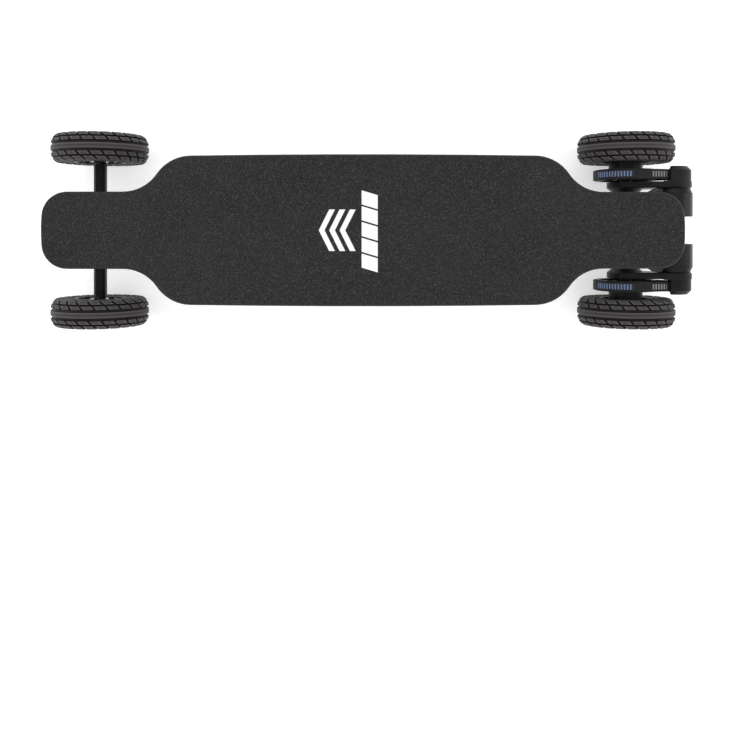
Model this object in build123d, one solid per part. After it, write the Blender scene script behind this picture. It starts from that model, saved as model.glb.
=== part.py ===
"""Electric longboard with 6 inch airless tyres, reverse-kingpin trucks and twin belt drive.

Millimetres. The nose points to -X and the driven tail to +X, +Y is the rider's right, +Z is up and
the wheels stand on Z = 0. Every piece is built about the middle of the deck. write_node then moves it
by frame_shift, so that the middle of the whole board's length lies on the origin.
"""
from build123d import *
import math
import os

# ---------------------------------------------------------------- driving dimensions
# Deck
deck_length = 965.0
deck_width = 228.0
deck_shoulder_width = 223.0
deck_thickness = 12.0
nose_width = 116.0
tail_width = 115.0
neck_end = 328.0
wide_end = 290.0
end_bow = 5.0
end_corner_radius = 38.0
neck_radius = 62.0
shoulder_radius = 62.0
deck_edge_radius = 3.0
grip_thickness = 1.0
grip_inset = 2.5

# Running gear
wheelbase = 838.0
track = 258.0
tyre_diameter = 150.0
tyre_width = 44.0
tyre_bore = 80.0
tyre_shoulder = 13.0
tread_groove = 2.5
sidewall_holes = 24
sidewall_hole_diameter = 7.0
sidewall_hole_circle = 114.0
hub_width = 42.0
hub_rim_wall = 5.0
hub_boss_diameter = 52.0
hub_boss_outboard = 8.0
hub_boss_inboard = 20.0
hub_web = 8.0
hub_hole_diameter = 6.0
hub_hole_circle = 61.0
hub_holes = 10
hub_bolts = 5
hub_bolt_circle = 41.0
axle_diameter = 12.0
bearing_diameter = 28.0
bearing_width = 8.0
axle_nut_width = 19.0
axle_nut_height = 10.0
axle_stub = 1.5

# Trucks, measured outward and down from the axle
truck_height = 62.0
steering_angle = 38.0
ring_out = 12.0
ring_drop = 30.0
pivot_reach = 44.0
ring_diameter = 38.0
ring_width = 10.0
ring_bore = 17.0
bushing_height = 13.0
bushing_diameter = 28.0
bushing_cone_diameter = 23.0
washer_thickness = 1.5
kingpin_diameter = 10.0
kingpin_head_height = 5.0
kingpin_head_width = 15.0
kingpin_nut_height = 9.0
kingpin_nut_width = 15.0
kingpin_stub = 3.0
boss_wall = 5.5
boss_diameter = 28.0
pivot_ball_diameter = 12.0
pivot_cup_diameter = 20.0
pivot_cup_floor = 3.0
pivot_cup_mouth = 5.0
pivot_tower_wall = 2.5
baseplate_length = 80.0
baseplate_width = 57.0
baseplate_thickness = 7.0
bolt_spacing_x = 53.3
bolt_spacing_y = 41.3
bolt_centre_out = 4.5
truck_screw_diameter = 5.0
truck_screw_bite = 9.0
riser_thickness = 10.0
bar_section = 18.0
bar_middle_section = 20.0
bar_middle_length = 90.0
arm_diameter = 8.0
arm_spread = 37.0

# Belt drive
motor_back = 68.5
motor_rise = 22.0
motor_diameter = 56.6
motor_can_length = 36.0
motor_inner_y = 21.0
can_wall = 2.6
can_cap = 3.0
stator_gap = 0.6
motor_base_length = 8.4
motor_shaft_diameter = 8.0
belt_pitch = 5.0
belt_width = 15.0
belt_thickness = 2.4
wheel_teeth = 60
motor_teeth = 16
tooth_relief = 0.57
tooth_cut_diameter = 3.1
belt_gap = 0.35
pulley_margin = 1.0
mount_thickness = 10.0
mount_disc_diameter = 58.0
mount_motor_diameter = 54.0
flare_length = 13.0
guard_wall = 2.5
guard_diameter = 52.0
guard_start = 5.0
guard_post_swing = 55.0
guard_head_sink = 2.8
guard_bevel = 6.0
guard_screw_diameter = 3.0
guard_post_diameter = 6.4
guard_post_length = 8.0
mount_screw_circle = 25.0
mount_shaft_hole = 14.0

# Battery and electronics enclosure under the deck
gasket_thickness = 1.5
gasket_margin = 4.0
gasket_end_margin = 6.0
flange_thickness = 3.0
flange_inset = 4.0
flange_front = 336.0
flange_rear = 330.0
shell_wall = 3.0
ledge_depth = 34.0
floor_depth = 42.0
ledge_width = 180.0
floor_width = 132.0
ledge_front = 305.0
ledge_rear = 326.0
ledge_end_width = 96.0
ledge_taper = 58.0
floor_front = 292.0
floor_rear = 305.0
floor_end_width = 64.0
floor_taper = 54.0
tub_corner_radius = 45.0
tub_draft = 7.0
floor_draft = 3.5
tub_edge_radius = 3.0
skid_length = 274.0
skid_width = 17.5
skid_thickness = 2.0
skid_slant = 9.0
hatch_length = 130.0
hatch_width = 105.0
hatch_thickness = 1.6
hatch_screw_edge_x = 18.0
hatch_screw_edge_y = 17.5
shell_screw_diameter = 5.0
shell_screw_bite = 9.0
shell_screw_recess = 4.5
shell_screw_recess_diameter = 10.4
shell_column_diameter = 16.0
trim_screw_diameter = 4.0
trim_screw_bite = 2.8
battery_front = 238.0
battery_rear = 64.0
battery_width = 112.0
battery_height = 32.0
controller_front = 118.0
controller_rear = 262.0
controller_width = 96.0
controller_height = 22.0
controller_fins = 11
controller_fin_gap = 4.0
controller_fin_depth = 8.0
controller_pad_thickness = 2.6
controller_pad_inset_x = 12.0
controller_pad_inset_y = 8.0
port_bay_length = 50.0
port_bay_height = 24.0
power_button_diameter = 13.0
power_button_travel = 1.2
charge_port_diameter = 11.5
charge_port_bore = 8.0
charge_rim_height = 6.0
button_bore_diameter = 8.4
button_cap_diameter = 10.0
button_lip_height = 1.0
button_rim_height = 3.0
button_proud = 5.0
button_play = 0.2
fitting_stem_length = 8.0
fitting_floor = 3.0
lead_diameter = 8.0
lead_entry_angle = 150.0

# Clearances
fit = 0.05
running_gap = 0.4
screw_slack = 0.1

# ---------------------------------------------------------------- levels and places worked out from them
axle_z = tyre_diameter / 2
truck_base_z = axle_z + truck_height
deck_bottom = truck_base_z + riser_thickness
deck_top = deck_bottom + deck_thickness
axle_x = wheelbase / 2
wheel_y = track / 2
front_reach = axle_x + tyre_diameter / 2
rear_reach = axle_x + motor_back + motor_diameter / 2
frame_shift = (front_reach - rear_reach) / 2

ring_z = truck_base_z - ring_drop
steer = math.radians(steering_angle)
kingpin_plane = Plane(
    origin=(ring_out, 0, ring_z),
    x_dir=(math.cos(steer), 0, math.sin(steer)),
    z_dir=(math.sin(steer), 0, -math.cos(steer)),
)
pivot_x = ring_out - pivot_reach * math.cos(steer)
pivot_z = ring_z - pivot_reach * math.sin(steer)
pivot_plane = Plane(
    origin=(pivot_x, 0, pivot_z),
    x_dir=(0, 1, 0),
    z_dir=(math.cos(steer), 0, math.sin(steer)),
)

boss_start = ring_width / 2 + bushing_height + washer_thickness
boss_seat = boss_start + boss_wall

hanger_end = wheel_y - hub_boss_inboard - 6.0
wheel_pulley_radius = wheel_teeth * belt_pitch / (2 * math.pi) - tooth_relief
motor_pulley_radius = motor_teeth * belt_pitch / (2 * math.pi) - tooth_relief
motor_x = motor_back
motor_z = axle_z + motor_rise
motor_heading = math.degrees(math.atan2(motor_rise, motor_back))
can_outer_y = motor_inner_y + motor_can_length
base_outer_y = can_outer_y + motor_base_length + running_gap
mount_outer_y = base_outer_y + mount_thickness
pulley_width = belt_width + 2 * pulley_margin
pulley_inner_y = mount_outer_y + 3.0
belt_inner_y = pulley_inner_y + pulley_margin
guard_outer_y = pulley_inner_y + pulley_width + 1.5 + guard_wall

flange_bottom = deck_bottom - gasket_thickness - flange_thickness
ledge_z = deck_bottom - ledge_depth
floor_z = deck_bottom - floor_depth
skid_x = -36.0
skid_y = 79.0
hatch_x = 191.5
port_bay_x = 147.0
port_panel_y = ledge_width / 2 - 6.0
port_z = ledge_z + port_bay_height / 2 + 1.0
button_x = port_bay_x - 13.0
charge_x = port_bay_x + 12.0
cable_block_front = 296.0
cable_block_rear = 334.0
cable_block_half = 24.0
cable_block_drop = 9.0
cable_block_wall = 6.0
grommet_wall = 2.4
grommet_lip_diameter = 16.0
grommet_bite = 12.0
grommet_stand = 2.5
cable_z = deck_bottom - 17.0
cable_y = 9.5
shell_screws = [(-183, -78), (-183, 78), (138, -78), (109, 78), (271, -67), (271, 67)]
front_screws = [(-320, -25), (-320, 25)]


# ---------------------------------------------------------------- helpers
UP = (Align.CENTER, Align.CENTER, Align.MIN)


def between(start, end, radius):
    """A round bar from one point to another."""
    path = Vector(*end) - Vector(*start)
    plane = Plane(origin=start, z_dir=path)
    return plane * Cylinder(radius, path.length, align=UP)


def across(x, z, y_start, y_end, radius):
    """A round bar along Y."""
    return between((x, y_start, z), (x, y_end, z), radius)


def ring_across(x, z, y_start, y_end, outer, inner):
    """A tube along Y."""
    return across(x, z, y_start, y_end, outer) - across(x, z, y_start, y_end, inner)


def along_kingpin(start, end, radius):
    """A disc or bar on the kingpin's line, measured from the middle of the hanger's ring."""
    low, high = sorted((start, end))
    bar = Cylinder(radius, high - low, align=UP)
    return kingpin_plane * Pos(0, 0, low) * bar


def along_pivot(start, end, radius):
    """A disc or bar on the steering axis, measured from the middle of the pivot ball."""
    bar = Cylinder(radius, end - start, align=UP)
    return pivot_plane * Pos(0, 0, start) * bar


def strap_outline(first, first_radius, second, second_radius):
    """Two circles and the straight tangents that join them, as a flat XZ face seen along Y."""
    run = Vector(second[0] - first[0], second[1] - first[1])
    heading = math.atan2(run.Y, run.X)
    swing = math.acos((first_radius - second_radius) / run.length)

    def rim(centre, radius, angle):
        return (centre[0] + radius * math.cos(angle), centre[1] + radius * math.sin(angle))

    first_high = rim(first, first_radius, heading + swing)
    first_low = rim(first, first_radius, heading - swing)
    second_high = rim(second, second_radius, heading + swing)
    second_low = rim(second, second_radius, heading - swing)
    lines = Curve() + [
        Line(first_high, second_high),
        ThreePointArc(second_high, rim(second, second_radius, heading), second_low),
        Line(second_low, first_low),
        ThreePointArc(first_low, rim(first, first_radius, heading + math.pi), first_high),
    ]
    return make_face(lines)


def extrude_across(face, y_start, y_end):
    """Stands a face drawn in X and Z upright and extrudes it along Y."""
    upright = Plane(origin=(0, y_end, 0), x_dir=(1, 0, 0), z_dir=(0, -1, 0))
    return extrude(upright * face, amount=abs(y_end - y_start), dir=(0, math.copysign(1, y_start - y_end), 0))


def socket_screw(diameter, length, head_height):
    """A socket cap screw whose head stands below Z = 0 and whose shank runs up."""
    head_radius = 0.85 * diameter
    head = Pos(0, 0, -head_height) * Cylinder(
        head_radius, head_height, align=UP
    )
    shank = Cylinder(diameter / 2, length, align=UP)
    socket = RegularPolygon(0.48 * diameter, 6)
    key = Pos(0, 0, -head_height) * extrude(socket, amount=0.6 * head_height)
    return head + shank - key


def countersunk_screw(diameter, length):
    """A flat-headed screw whose head ends at Z = 0 and whose shank runs up."""
    head_height = 0.5 * diameter
    head = Cone(
        diameter, diameter / 2, head_height, align=UP
    )
    shank = Cylinder(diameter / 2, length, align=UP)
    key = extrude(RegularPolygon(0.4 * diameter, 6), amount=0.35 * diameter)
    return head + shank - key


def countersink(diameter, depth):
    """The hole that takes a countersunk screw, with the same slack all round."""
    cone = Cone(
        diameter + screw_slack,
        diameter / 2 + screw_slack,
        0.5 * diameter,
        align=UP,
    )
    bore = Cylinder(diameter / 2 + screw_slack, depth, align=UP)
    return cone + bore


def hex_nut(width, height, bore):
    """A hexagon nut on Z = 0 with chamfered corners."""
    blank = extrude(RegularPolygon(width / 2, 6, major_radius=False), amount=height)
    rounding = Cylinder(width / math.sqrt(3), height, align=UP)
    rounding = chamfer(rounding.edges().filter_by(GeomType.CIRCLE), 0.12 * height)
    hole = Cylinder(bore, height, align=UP)
    return (blank & rounding) - hole


def end_for_end(shape):
    """A piece of the rear truck, turned round to serve at the front."""
    return Rot(0, 0, 180) * shape


def at_rear(shape):
    return Pos(axle_x, 0, 0) * shape


def at_front(shape):
    return Pos(-axle_x, 0, 0) * end_for_end(shape)


def box_between(low, high):
    """A box from its lowest to its highest corner."""
    size = [b - a for a, b in zip(low, high)]
    middle = [(a + b) / 2 for a, b in zip(low, high)]
    return Pos(*middle) * Box(*size)


# ---------------------------------------------------------------- deck
def deck_outline():
    nose_x = -deck_length / 2
    tail_x = deck_length / 2
    nose_y = nose_width / 2
    tail_y = tail_width / 2
    wide_y = deck_shoulder_width / 2
    lines = Curve() + [
        ThreePointArc((nose_x + end_bow, -nose_y), (nose_x, 0), (nose_x + end_bow, nose_y)),
        Polyline((nose_x + end_bow, nose_y), (-neck_end, nose_y), (-wide_end, wide_y)),
        ThreePointArc((-wide_end, wide_y), (0, deck_width / 2), (wide_end, wide_y)),
        Polyline((wide_end, wide_y), (neck_end, tail_y), (tail_x - end_bow, tail_y)),
        ThreePointArc((tail_x - end_bow, tail_y), (tail_x, 0), (tail_x - end_bow, -tail_y)),
        Polyline((tail_x - end_bow, -tail_y), (neck_end, -tail_y), (wide_end, -wide_y)),
        ThreePointArc((wide_end, -wide_y), (0, -deck_width / 2), (-wide_end, -wide_y)),
        Polyline((-wide_end, -wide_y), (-neck_end, -nose_y), (nose_x + end_bow, -nose_y)),
    ]
    face = make_face(lines)
    for reach, radius in (
        (deck_length / 2 - end_bow, end_corner_radius),
        (neck_end, neck_radius),
        (wide_end, shoulder_radius),
    ):
        corners = [v for v in face.vertices() if abs(abs(v.X) - reach) < 0.01]
        face = fillet(corners, radius)
    return face


def truck_bolt_places():
    """The four bolts of one truck, about its axle."""
    return [
        (bolt_centre_out + x * bolt_spacing_x / 2, y * bolt_spacing_y / 2)
        for x in (-1, 1)
        for y in (-1, 1)
    ]


def deck_bolt_places():
    """The eight truck bolts, about the middle of the deck."""
    rear = [(axle_x + x, y) for x, y in truck_bolt_places()]
    return rear + [(-x, -y) for x, y in rear]


def deck():
    board = Pos(0, 0, deck_bottom) * extrude(deck_outline(), amount=deck_thickness)
    rims = board.edges().filter_by(lambda e: abs(e.center().Z - (deck_bottom + deck_top) / 2) > 1)
    board = fillet(rims, deck_edge_radius)
    for x, y in deck_bolt_places():
        hole = Cylinder(truck_screw_diameter / 2 + screw_slack, truck_screw_bite + 1, align=UP)
        board -= Pos(x, y, deck_bottom) * hole
    for x, y in shell_screws + front_screws:
        hole = Cylinder(shell_screw_diameter / 2 + screw_slack, shell_screw_bite, align=UP)
        board -= Pos(x, y, deck_bottom) * hole
    return board


def grip_tape():
    face = offset(deck_outline(), amount=-grip_inset)
    return Pos(0, 0, deck_top) * extrude(face, amount=grip_thickness)


# ---------------------------------------------------------------- enclosure
def tub_outline(front, rear, width, end_width, run, radius):
    """A long six-cornered outline with narrowed, rounded ends."""
    half = width / 2
    end_half = end_width / 2
    corners = [
        (-front, -end_half),
        (-front, end_half),
        (-front + run, half),
        (rear - run, half),
        (rear, end_half),
        (rear, -end_half),
        (rear - run, -half),
        (-front + run, -half),
    ]
    face = Polygon(*corners, align=None)
    return fillet(face.vertices(), radius)


def tub_solid(inset, rise):
    """The tub's two steps. A wall's inset and rise give the hollow inside it."""
    top = flange_bottom + flange_thickness + (1.0 if rise else 0.0)
    steps = (
        (
            top,
            ledge_z + rise,
            ledge_front,
            ledge_rear,
            ledge_width,
            ledge_end_width,
            ledge_taper,
            tub_draft,
        ),
        (
            ledge_z + rise,
            floor_z + rise,
            floor_front,
            floor_rear,
            floor_width,
            floor_end_width,
            floor_taper,
            floor_draft,
        ),
    )
    solid = None
    for high, low, front, rear, width, end_width, run, draft in steps:
        upper = tub_outline(
            front + draft - inset,
            rear + draft - inset,
            width + 2 * (draft - inset),
            end_width + 2 * (draft - inset),
            run,
            tub_corner_radius,
        )
        lower = tub_outline(
            front - inset, rear - inset, width - 2 * inset, end_width - 2 * inset, run, tub_corner_radius
        )
        step = loft([Pos(0, 0, low) * lower, Pos(0, 0, high) * upper], ruled=True)
        if not rise:
            rim = [e for e in step.edges() if abs(e.center().Z - low) < 0.01]
            step = fillet(rim, tub_edge_radius)
        solid = step if solid is None else solid + step
    return solid


def flange_face():
    window = Pos((flange_rear - flange_front) / 2, 0) * Rectangle(
        flange_front + flange_rear, deck_width
    )
    return offset(deck_outline(), amount=-flange_inset) & window


def port_bay():
    """The recess in the right flank that the button and the charge port sit in."""
    return box_between(
        (port_bay_x - port_bay_length / 2, port_panel_y, ledge_z - 1),
        (port_bay_x + port_bay_length / 2, deck_width / 2, ledge_z + port_bay_height + 1),
    )


def trim_hole():
    """The hole of a strip or hatch screw, right through the wall it is in."""
    return Cylinder(trim_screw_diameter / 2 + screw_slack, 2 * shell_wall, align=UP)


def enclosure_shell():
    flange = Pos(0, 0, flange_bottom) * extrude(flange_face(), amount=flange_thickness)
    shell = flange + tub_solid(0, 0) - tub_solid(shell_wall, shell_wall)
    for x, y in shell_screws:
        column_height = flange_bottom + flange_thickness - ledge_z
        column = Cylinder(shell_column_diameter / 2, column_height, align=UP)
        shell += Pos(x, y, ledge_z) * column
    block = box_between(
        (cable_block_front, -cable_block_half, cable_z - cable_block_drop),
        (cable_block_rear, cable_block_half, flange_bottom),
    )
    shell += block
    bay_lining = box_between(
        (port_bay_x - port_bay_length / 2 - shell_wall, port_panel_y - shell_wall, ledge_z + shell_wall),
        (
            port_bay_x + port_bay_length / 2 + shell_wall,
            ledge_width / 2 - shell_wall,
            ledge_z + port_bay_height + 1 + shell_wall,
        ),
    )
    shell += bay_lining
    shell -= port_bay()
    for x, y in shell_screws:
        recess = Cylinder(shell_screw_recess_diameter / 2, shell_screw_recess, align=UP)
        hole = Cylinder(shell_screw_diameter / 2 + screw_slack, ledge_depth, align=UP)
        shell -= Pos(x, y, ledge_z) * (recess + hole)
    for x, y in front_screws:
        hole = Cylinder(shell_screw_diameter / 2 + screw_slack, flange_thickness, align=UP)
        shell -= Pos(x, y, flange_bottom) * hole
    for x, y in skid_screw_places():
        shell -= Pos(x, y, ledge_z) * trim_hole()
    for x, y in hatch_screw_places():
        shell -= Pos(x, y, floor_z) * trim_hole()
    for side in (-1, 1):
        tunnel = between(
            (cable_block_front + cable_block_wall, side * cable_y, cable_z),
            (cable_block_rear, side * cable_y, cable_z),
            lead_diameter / 2 + grommet_wall + screw_slack,
        )
        shell -= tunnel
    for x in (button_x, charge_x):
        shell -= across(x, port_z, port_panel_y - shell_wall, port_panel_y, port_stem_radius() + fit)
    return shell


def port_stem_radius():
    """Both panel fittings go through the same size of hole."""
    return charge_port_diameter / 2 - 1.0


def enclosure_gasket():
    margin = tub_draft + gasket_margin
    window = tub_outline(
        ledge_front + tub_draft + gasket_end_margin,
        ledge_rear + tub_draft + gasket_end_margin,
        ledge_width + 2 * margin,
        ledge_end_width + 2 * margin,
        ledge_taper,
        tub_corner_radius,
    )
    ring = flange_face() - window
    ring = Pos(0, 0, flange_bottom + flange_thickness) * extrude(ring, amount=gasket_thickness)
    for x, y in front_screws:
        ring -= Pos(x, y, flange_bottom) * Cylinder(3.5, 12, align=UP)
    return ring


def battery_pack():
    """A wrapped ten-series pack of round cells standing in four rows."""
    low = floor_z + shell_wall
    half = battery_width / 2
    block = box_between((-battery_front, -half, low), (battery_rear, half, low + battery_height))
    return fillet(block.edges().filter_by(Axis.X), 8)


def motor_controller():
    """A finned aluminium case over the hatch."""
    low = floor_z + shell_wall + controller_pad_thickness
    high = low + controller_height
    half = controller_width / 2
    case = box_between((controller_front, -half, low), (controller_rear, half, high))
    pitch = controller_width / (controller_fins + 1)
    for row in range(controller_fins):
        gap_y = -half + (row + 1) * pitch
        case -= box_between(
            (controller_front, gap_y - controller_fin_gap / 2, high - controller_fin_depth),
            (controller_rear, gap_y + controller_fin_gap / 2, high),
        )
    return case


def controller_pad():
    """The thermal pad that the controller stands on."""
    low = floor_z + shell_wall
    half = controller_width / 2 - controller_pad_inset_y
    return box_between(
        (controller_front + controller_pad_inset_x, -half, low),
        (controller_rear - controller_pad_inset_x, half, low + controller_pad_thickness),
    )


def skid_screw_places():
    places = []
    for side in (-1, 1):
        for reach in (-1, 0, 1):
            places.append((skid_x + reach * (skid_length / 2 - 22), side * skid_y))
    return places


def skid_strips():
    """Two aluminium strips, longer on their outer edge, screwed along the tub's ledges."""
    strips = []
    long_half = skid_length / 2
    short_half = long_half - skid_slant
    for side in (-1, 1):
        corners = [
            (-long_half, skid_width / 2),
            (long_half, skid_width / 2),
            (short_half, -skid_width / 2),
            (-short_half, -skid_width / 2),
        ]
        face = Polygon(*corners, align=None)
        face = fillet(face.vertices(), 1.5)
        strip = extrude(face, amount=skid_thickness)
        strip = chamfer(strip.edges().filter_by(lambda e: e.center().Z < 0.01), 0.4)
        if side < 0:
            strip = mirror(strip, Plane.XZ)
        strip = Pos(skid_x, side * skid_y, ledge_z - skid_thickness) * strip
        for x, y in skid_screw_places():
            strip -= Pos(x, y, ledge_z - skid_thickness) * countersink(trim_screw_diameter, 2 * shell_wall)
        strips.append(strip)
    return strips


def hatch_screw_places():
    reach_x = hatch_length / 2 - hatch_screw_edge_x
    reach_y = hatch_width / 2 - hatch_screw_edge_y
    return [(hatch_x + x * reach_x, y * reach_y) for x in (-1, 1) for y in (-1, 1)]


def controller_hatch():
    plate = box_between(
        (hatch_x - hatch_length / 2, -hatch_width / 2, floor_z - hatch_thickness),
        (hatch_x + hatch_length / 2, hatch_width / 2, floor_z),
    )
    plate = fillet(plate.edges().filter_by(Axis.Z), 2)
    for x, y in hatch_screw_places():
        plate -= Pos(x, y, floor_z - hatch_thickness) * trim_hole()
    return plate


def trim_screws():
    """The countersunk strip screws and the flat button screws of the hatch."""
    screws = []
    for x, y in skid_screw_places():
        screw = countersunk_screw(trim_screw_diameter, skid_thickness + trim_screw_bite)
        screws.append(Pos(x, y, ledge_z - skid_thickness) * screw)
    for x, y in hatch_screw_places():
        shank = Cylinder(trim_screw_diameter / 2, hatch_thickness + trim_screw_bite, align=UP)
        head_height = 0.3 * trim_screw_diameter
        head = Pos(0, 0, -head_height) * Cylinder(0.75 * trim_screw_diameter, head_height, align=UP)
        screws.append(Pos(x, y, floor_z - hatch_thickness) * (shank + head))
    return screws


def enclosure_screws():
    screws = []
    for x, y in shell_screws:
        seat = ledge_z + shell_screw_recess
        length = deck_bottom + shell_screw_bite - 1 - seat
        screws.append(Pos(x, y, seat) * socket_screw(shell_screw_diameter, length, 4))
    for x, y in front_screws:
        length = deck_bottom + shell_screw_bite - 1 - flange_bottom
        screws.append(Pos(x, y, flange_bottom) * socket_screw(shell_screw_diameter, length, 3))
    return screws


def fitting_stem(x, bore_radius):
    """The closed stem of a panel fitting, from the panel's outer face inward."""
    inner_end = port_panel_y - fitting_stem_length
    stem = ring_across(x, port_z, inner_end, port_panel_y, port_stem_radius(), bore_radius)
    return stem + across(x, port_z, inner_end, inner_end + fitting_floor, port_stem_radius())


def button_bezel():
    """The round switch body: a rim outside the panel and a threaded stem through it."""
    lip_end = port_panel_y + button_lip_height
    rim_end = port_panel_y + button_rim_height
    rim_radius = power_button_diameter / 2
    rim = ring_across(button_x, port_z, lip_end, rim_end, rim_radius, button_cap_diameter / 2)
    rim += ring_across(button_x, port_z, port_panel_y, lip_end, rim_radius, button_bore_diameter / 2)
    return rim + fitting_stem(button_x, button_bore_diameter / 2)


def power_button():
    """The cap, guided by the bezel, with its travel left free behind it."""
    travel = power_button_travel + button_play
    cap_start = port_panel_y + button_lip_height + travel
    cap_radius = button_cap_diameter / 2 - running_gap
    cap = across(button_x, port_z, cap_start, port_panel_y + button_proud, cap_radius)
    cap = fillet(cap.edges().filter_by(GeomType.CIRCLE).sort_by(Axis.Y)[-1], 0.6)
    plunger_start = port_panel_y - fitting_stem_length + fitting_floor + travel
    return cap + across(button_x, port_z, plunger_start, cap_start, button_bore_diameter / 2 - running_gap)


def charge_port():
    """A round socket with a closed bore."""
    rim_end = port_panel_y + charge_rim_height
    bore_radius = charge_port_bore / 2
    rim = ring_across(charge_x, port_z, port_panel_y, rim_end, charge_port_diameter / 2, bore_radius)
    return rim + fitting_stem(charge_x, bore_radius)


def cable_grommets():
    """Two rubber sleeves where the motor leads leave the enclosure."""
    grommets = []
    for side in (-1, 1):
        start = cable_block_rear - grommet_bite
        end = cable_block_rear + grommet_stand
        body = between(
            (start, side * cable_y, cable_z),
            (end, side * cable_y, cable_z),
            lead_diameter / 2 + grommet_wall,
        )
        lip = between(
            (cable_block_rear, side * cable_y, cable_z),
            (end, side * cable_y, cable_z),
            grommet_lip_diameter / 2,
        )
        bore = between(
            (start, side * cable_y, cable_z), (end, side * cable_y, cable_z), lead_diameter / 2 + fit
        )
        grommets.append(body + lip - bore)
    return grommets


def lead_route(side):
    """From the grommet, past the side of the baseplate and over the hanger, down to the motor."""
    base_y = base_outer_y - motor_base_length / 2
    reach_x = math.cos(math.radians(lead_entry_angle))
    reach_z = math.sin(math.radians(lead_entry_angle))
    entry = motor_diameter / 2
    return [
        (cable_block_rear - 10, side * cable_y, cable_z),
        (cable_block_rear + 14, side * cable_y, cable_z),
        (cable_block_rear + 30, side * 24, cable_z + 2),
        (cable_block_rear + 48, side * 38, cable_z + 5),
        (axle_x - 2, side * 43, cable_z + 5),
        (axle_x + 20, side * 56, cable_z - 1),
        (axle_x + motor_x + (entry + 14) * reach_x, side * base_y, motor_z + (entry + 14) * reach_z),
        (axle_x + motor_x + entry * reach_x, side * base_y, motor_z + entry * reach_z),
    ]


def lead_radii(points):
    """Each bend is as large as its two runs allow."""
    radii = []
    for before, corner, after in zip(points, points[1:], points[2:]):
        first = Vector(*corner) - Vector(*before)
        second = Vector(*after) - Vector(*corner)
        turn = math.radians(first.get_angle(second))
        radii.append(0.45 * min(first.length, second.length) / math.tan(turn / 2))
    return radii


def motor_leads():
    leads = []
    for side in (-1, 1):
        points = lead_route(side)
        radii = lead_radii(points)
        print("lead bend radii", [round(r, 1) for r in radii])
        path = FilletPolyline(*points, radius=radii)
        start = Plane(origin=points[0], z_dir=Vector(*points[1]) - Vector(*points[0]))
        lead = sweep(start * Circle(lead_diameter / 2), path=path)
        expected = math.pi * lead_diameter**2 / 4 * path.length
        print("lead volume / section times length", round(lead.volume / expected, 4))
        leads.append(lead)
    return leads


# ---------------------------------------------------------------- trucks, built about the rear axle
def riser_pad():
    low = truck_base_z
    pad = Pos(bolt_centre_out, 0, low + riser_thickness / 2) * Box(
        baseplate_length, baseplate_width, riser_thickness
    )
    pad = fillet(pad.edges().filter_by(Axis.Z), 8)
    for x, y in truck_bolt_places():
        hole = Cylinder(truck_screw_diameter / 2 + screw_slack, riser_thickness, align=UP)
        pad -= Pos(x, y, low) * hole
    return pad


def baseplate():
    """A flat plate with the kingpin's boss and the tower that holds the pivot cup."""
    low = truck_base_z - baseplate_thickness
    plate = Pos(bolt_centre_out, 0, low + baseplate_thickness / 2) * Box(
        baseplate_length, baseplate_width, baseplate_thickness
    )
    plate = fillet(plate.edges().filter_by(Axis.Z), 8)
    plate = chamfer(plate.edges().filter_by(lambda e: e.center().Z < low + 0.01), 1.5)
    boss = along_kingpin(-boss_start, -boss_start - 40, boss_diameter / 2)
    barrel = between((-30, 0, truck_base_z - 13), (0, 0, truck_base_z - 13), 12)
    column_front = pivot_x - 4
    column = box_between((column_front - 11, -9, pivot_z - 5), (column_front, 9, low + 1))
    column = fillet(column.edges().filter_by(Axis.Z), 3)
    cup_end = -pivot_ball_diameter / 2 - pivot_cup_floor
    tower = along_pivot(
        cup_end - pivot_tower_wall, pivot_cup_mouth - 1, pivot_cup_diameter / 2 + pivot_tower_wall
    )
    casting = plate + boss + barrel + column + tower
    head_room = box_between((-80, -60, truck_base_z), (80, 60, truck_base_z + 60))
    casting -= head_room
    casting -= along_pivot(cup_end, pivot_cup_mouth + 30, pivot_cup_diameter / 2 + fit)
    casting -= along_kingpin(0, -60, kingpin_diameter / 2 + fit)
    casting -= along_kingpin(-boss_seat, -60, kingpin_head_width / math.sqrt(3) + running_gap)
    casting -= along_kingpin(0, -boss_start, boss_diameter)
    for x, y in truck_bolt_places():
        hole = Cylinder(truck_screw_diameter / 2 + screw_slack, baseplate_thickness, align=UP)
        casting -= Pos(x, y, low) * hole
    return casting


def truck_screw_group():
    seat = truck_base_z - baseplate_thickness
    length = baseplate_thickness + riser_thickness + truck_screw_bite
    return [Pos(x, y, seat) * socket_screw(truck_screw_diameter, length, 5) for x, y in truck_bolt_places()]


def kingpin_set():
    """Kingpin with its hexagon head, two washers and the locking nut."""
    radius = kingpin_diameter / 2
    nut_start = boss_start
    tip = nut_start + kingpin_nut_height + kingpin_stub
    shaft = along_kingpin(-boss_seat, tip, radius)
    shaft = chamfer(shaft.edges().filter_by(GeomType.CIRCLE).sort_by(Axis.Z)[0], 1.0)
    head = kingpin_plane * Pos(0, 0, -boss_seat - kingpin_head_height) * extrude(
        RegularPolygon(kingpin_head_width / 2, 6, major_radius=False), amount=kingpin_head_height
    )
    washer_start = ring_width / 2 + bushing_height
    flat_washer = along_kingpin(-washer_start, -boss_start, bushing_diameter / 2)
    flat_washer -= along_kingpin(0, -boss_start, radius + fit)
    cup = along_kingpin(washer_start - 2, boss_start, bushing_diameter / 2 + 0.3)
    cup -= along_kingpin(0, washer_start, bushing_diameter / 2 - 1.2)
    cup -= along_kingpin(0, boss_start, radius + fit)
    nut = hex_nut(kingpin_nut_width, kingpin_nut_height, radius + fit)
    nut = kingpin_plane * Pos(0, 0, nut_start) * nut
    return [shaft + head, flat_washer, cup, nut]


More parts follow.
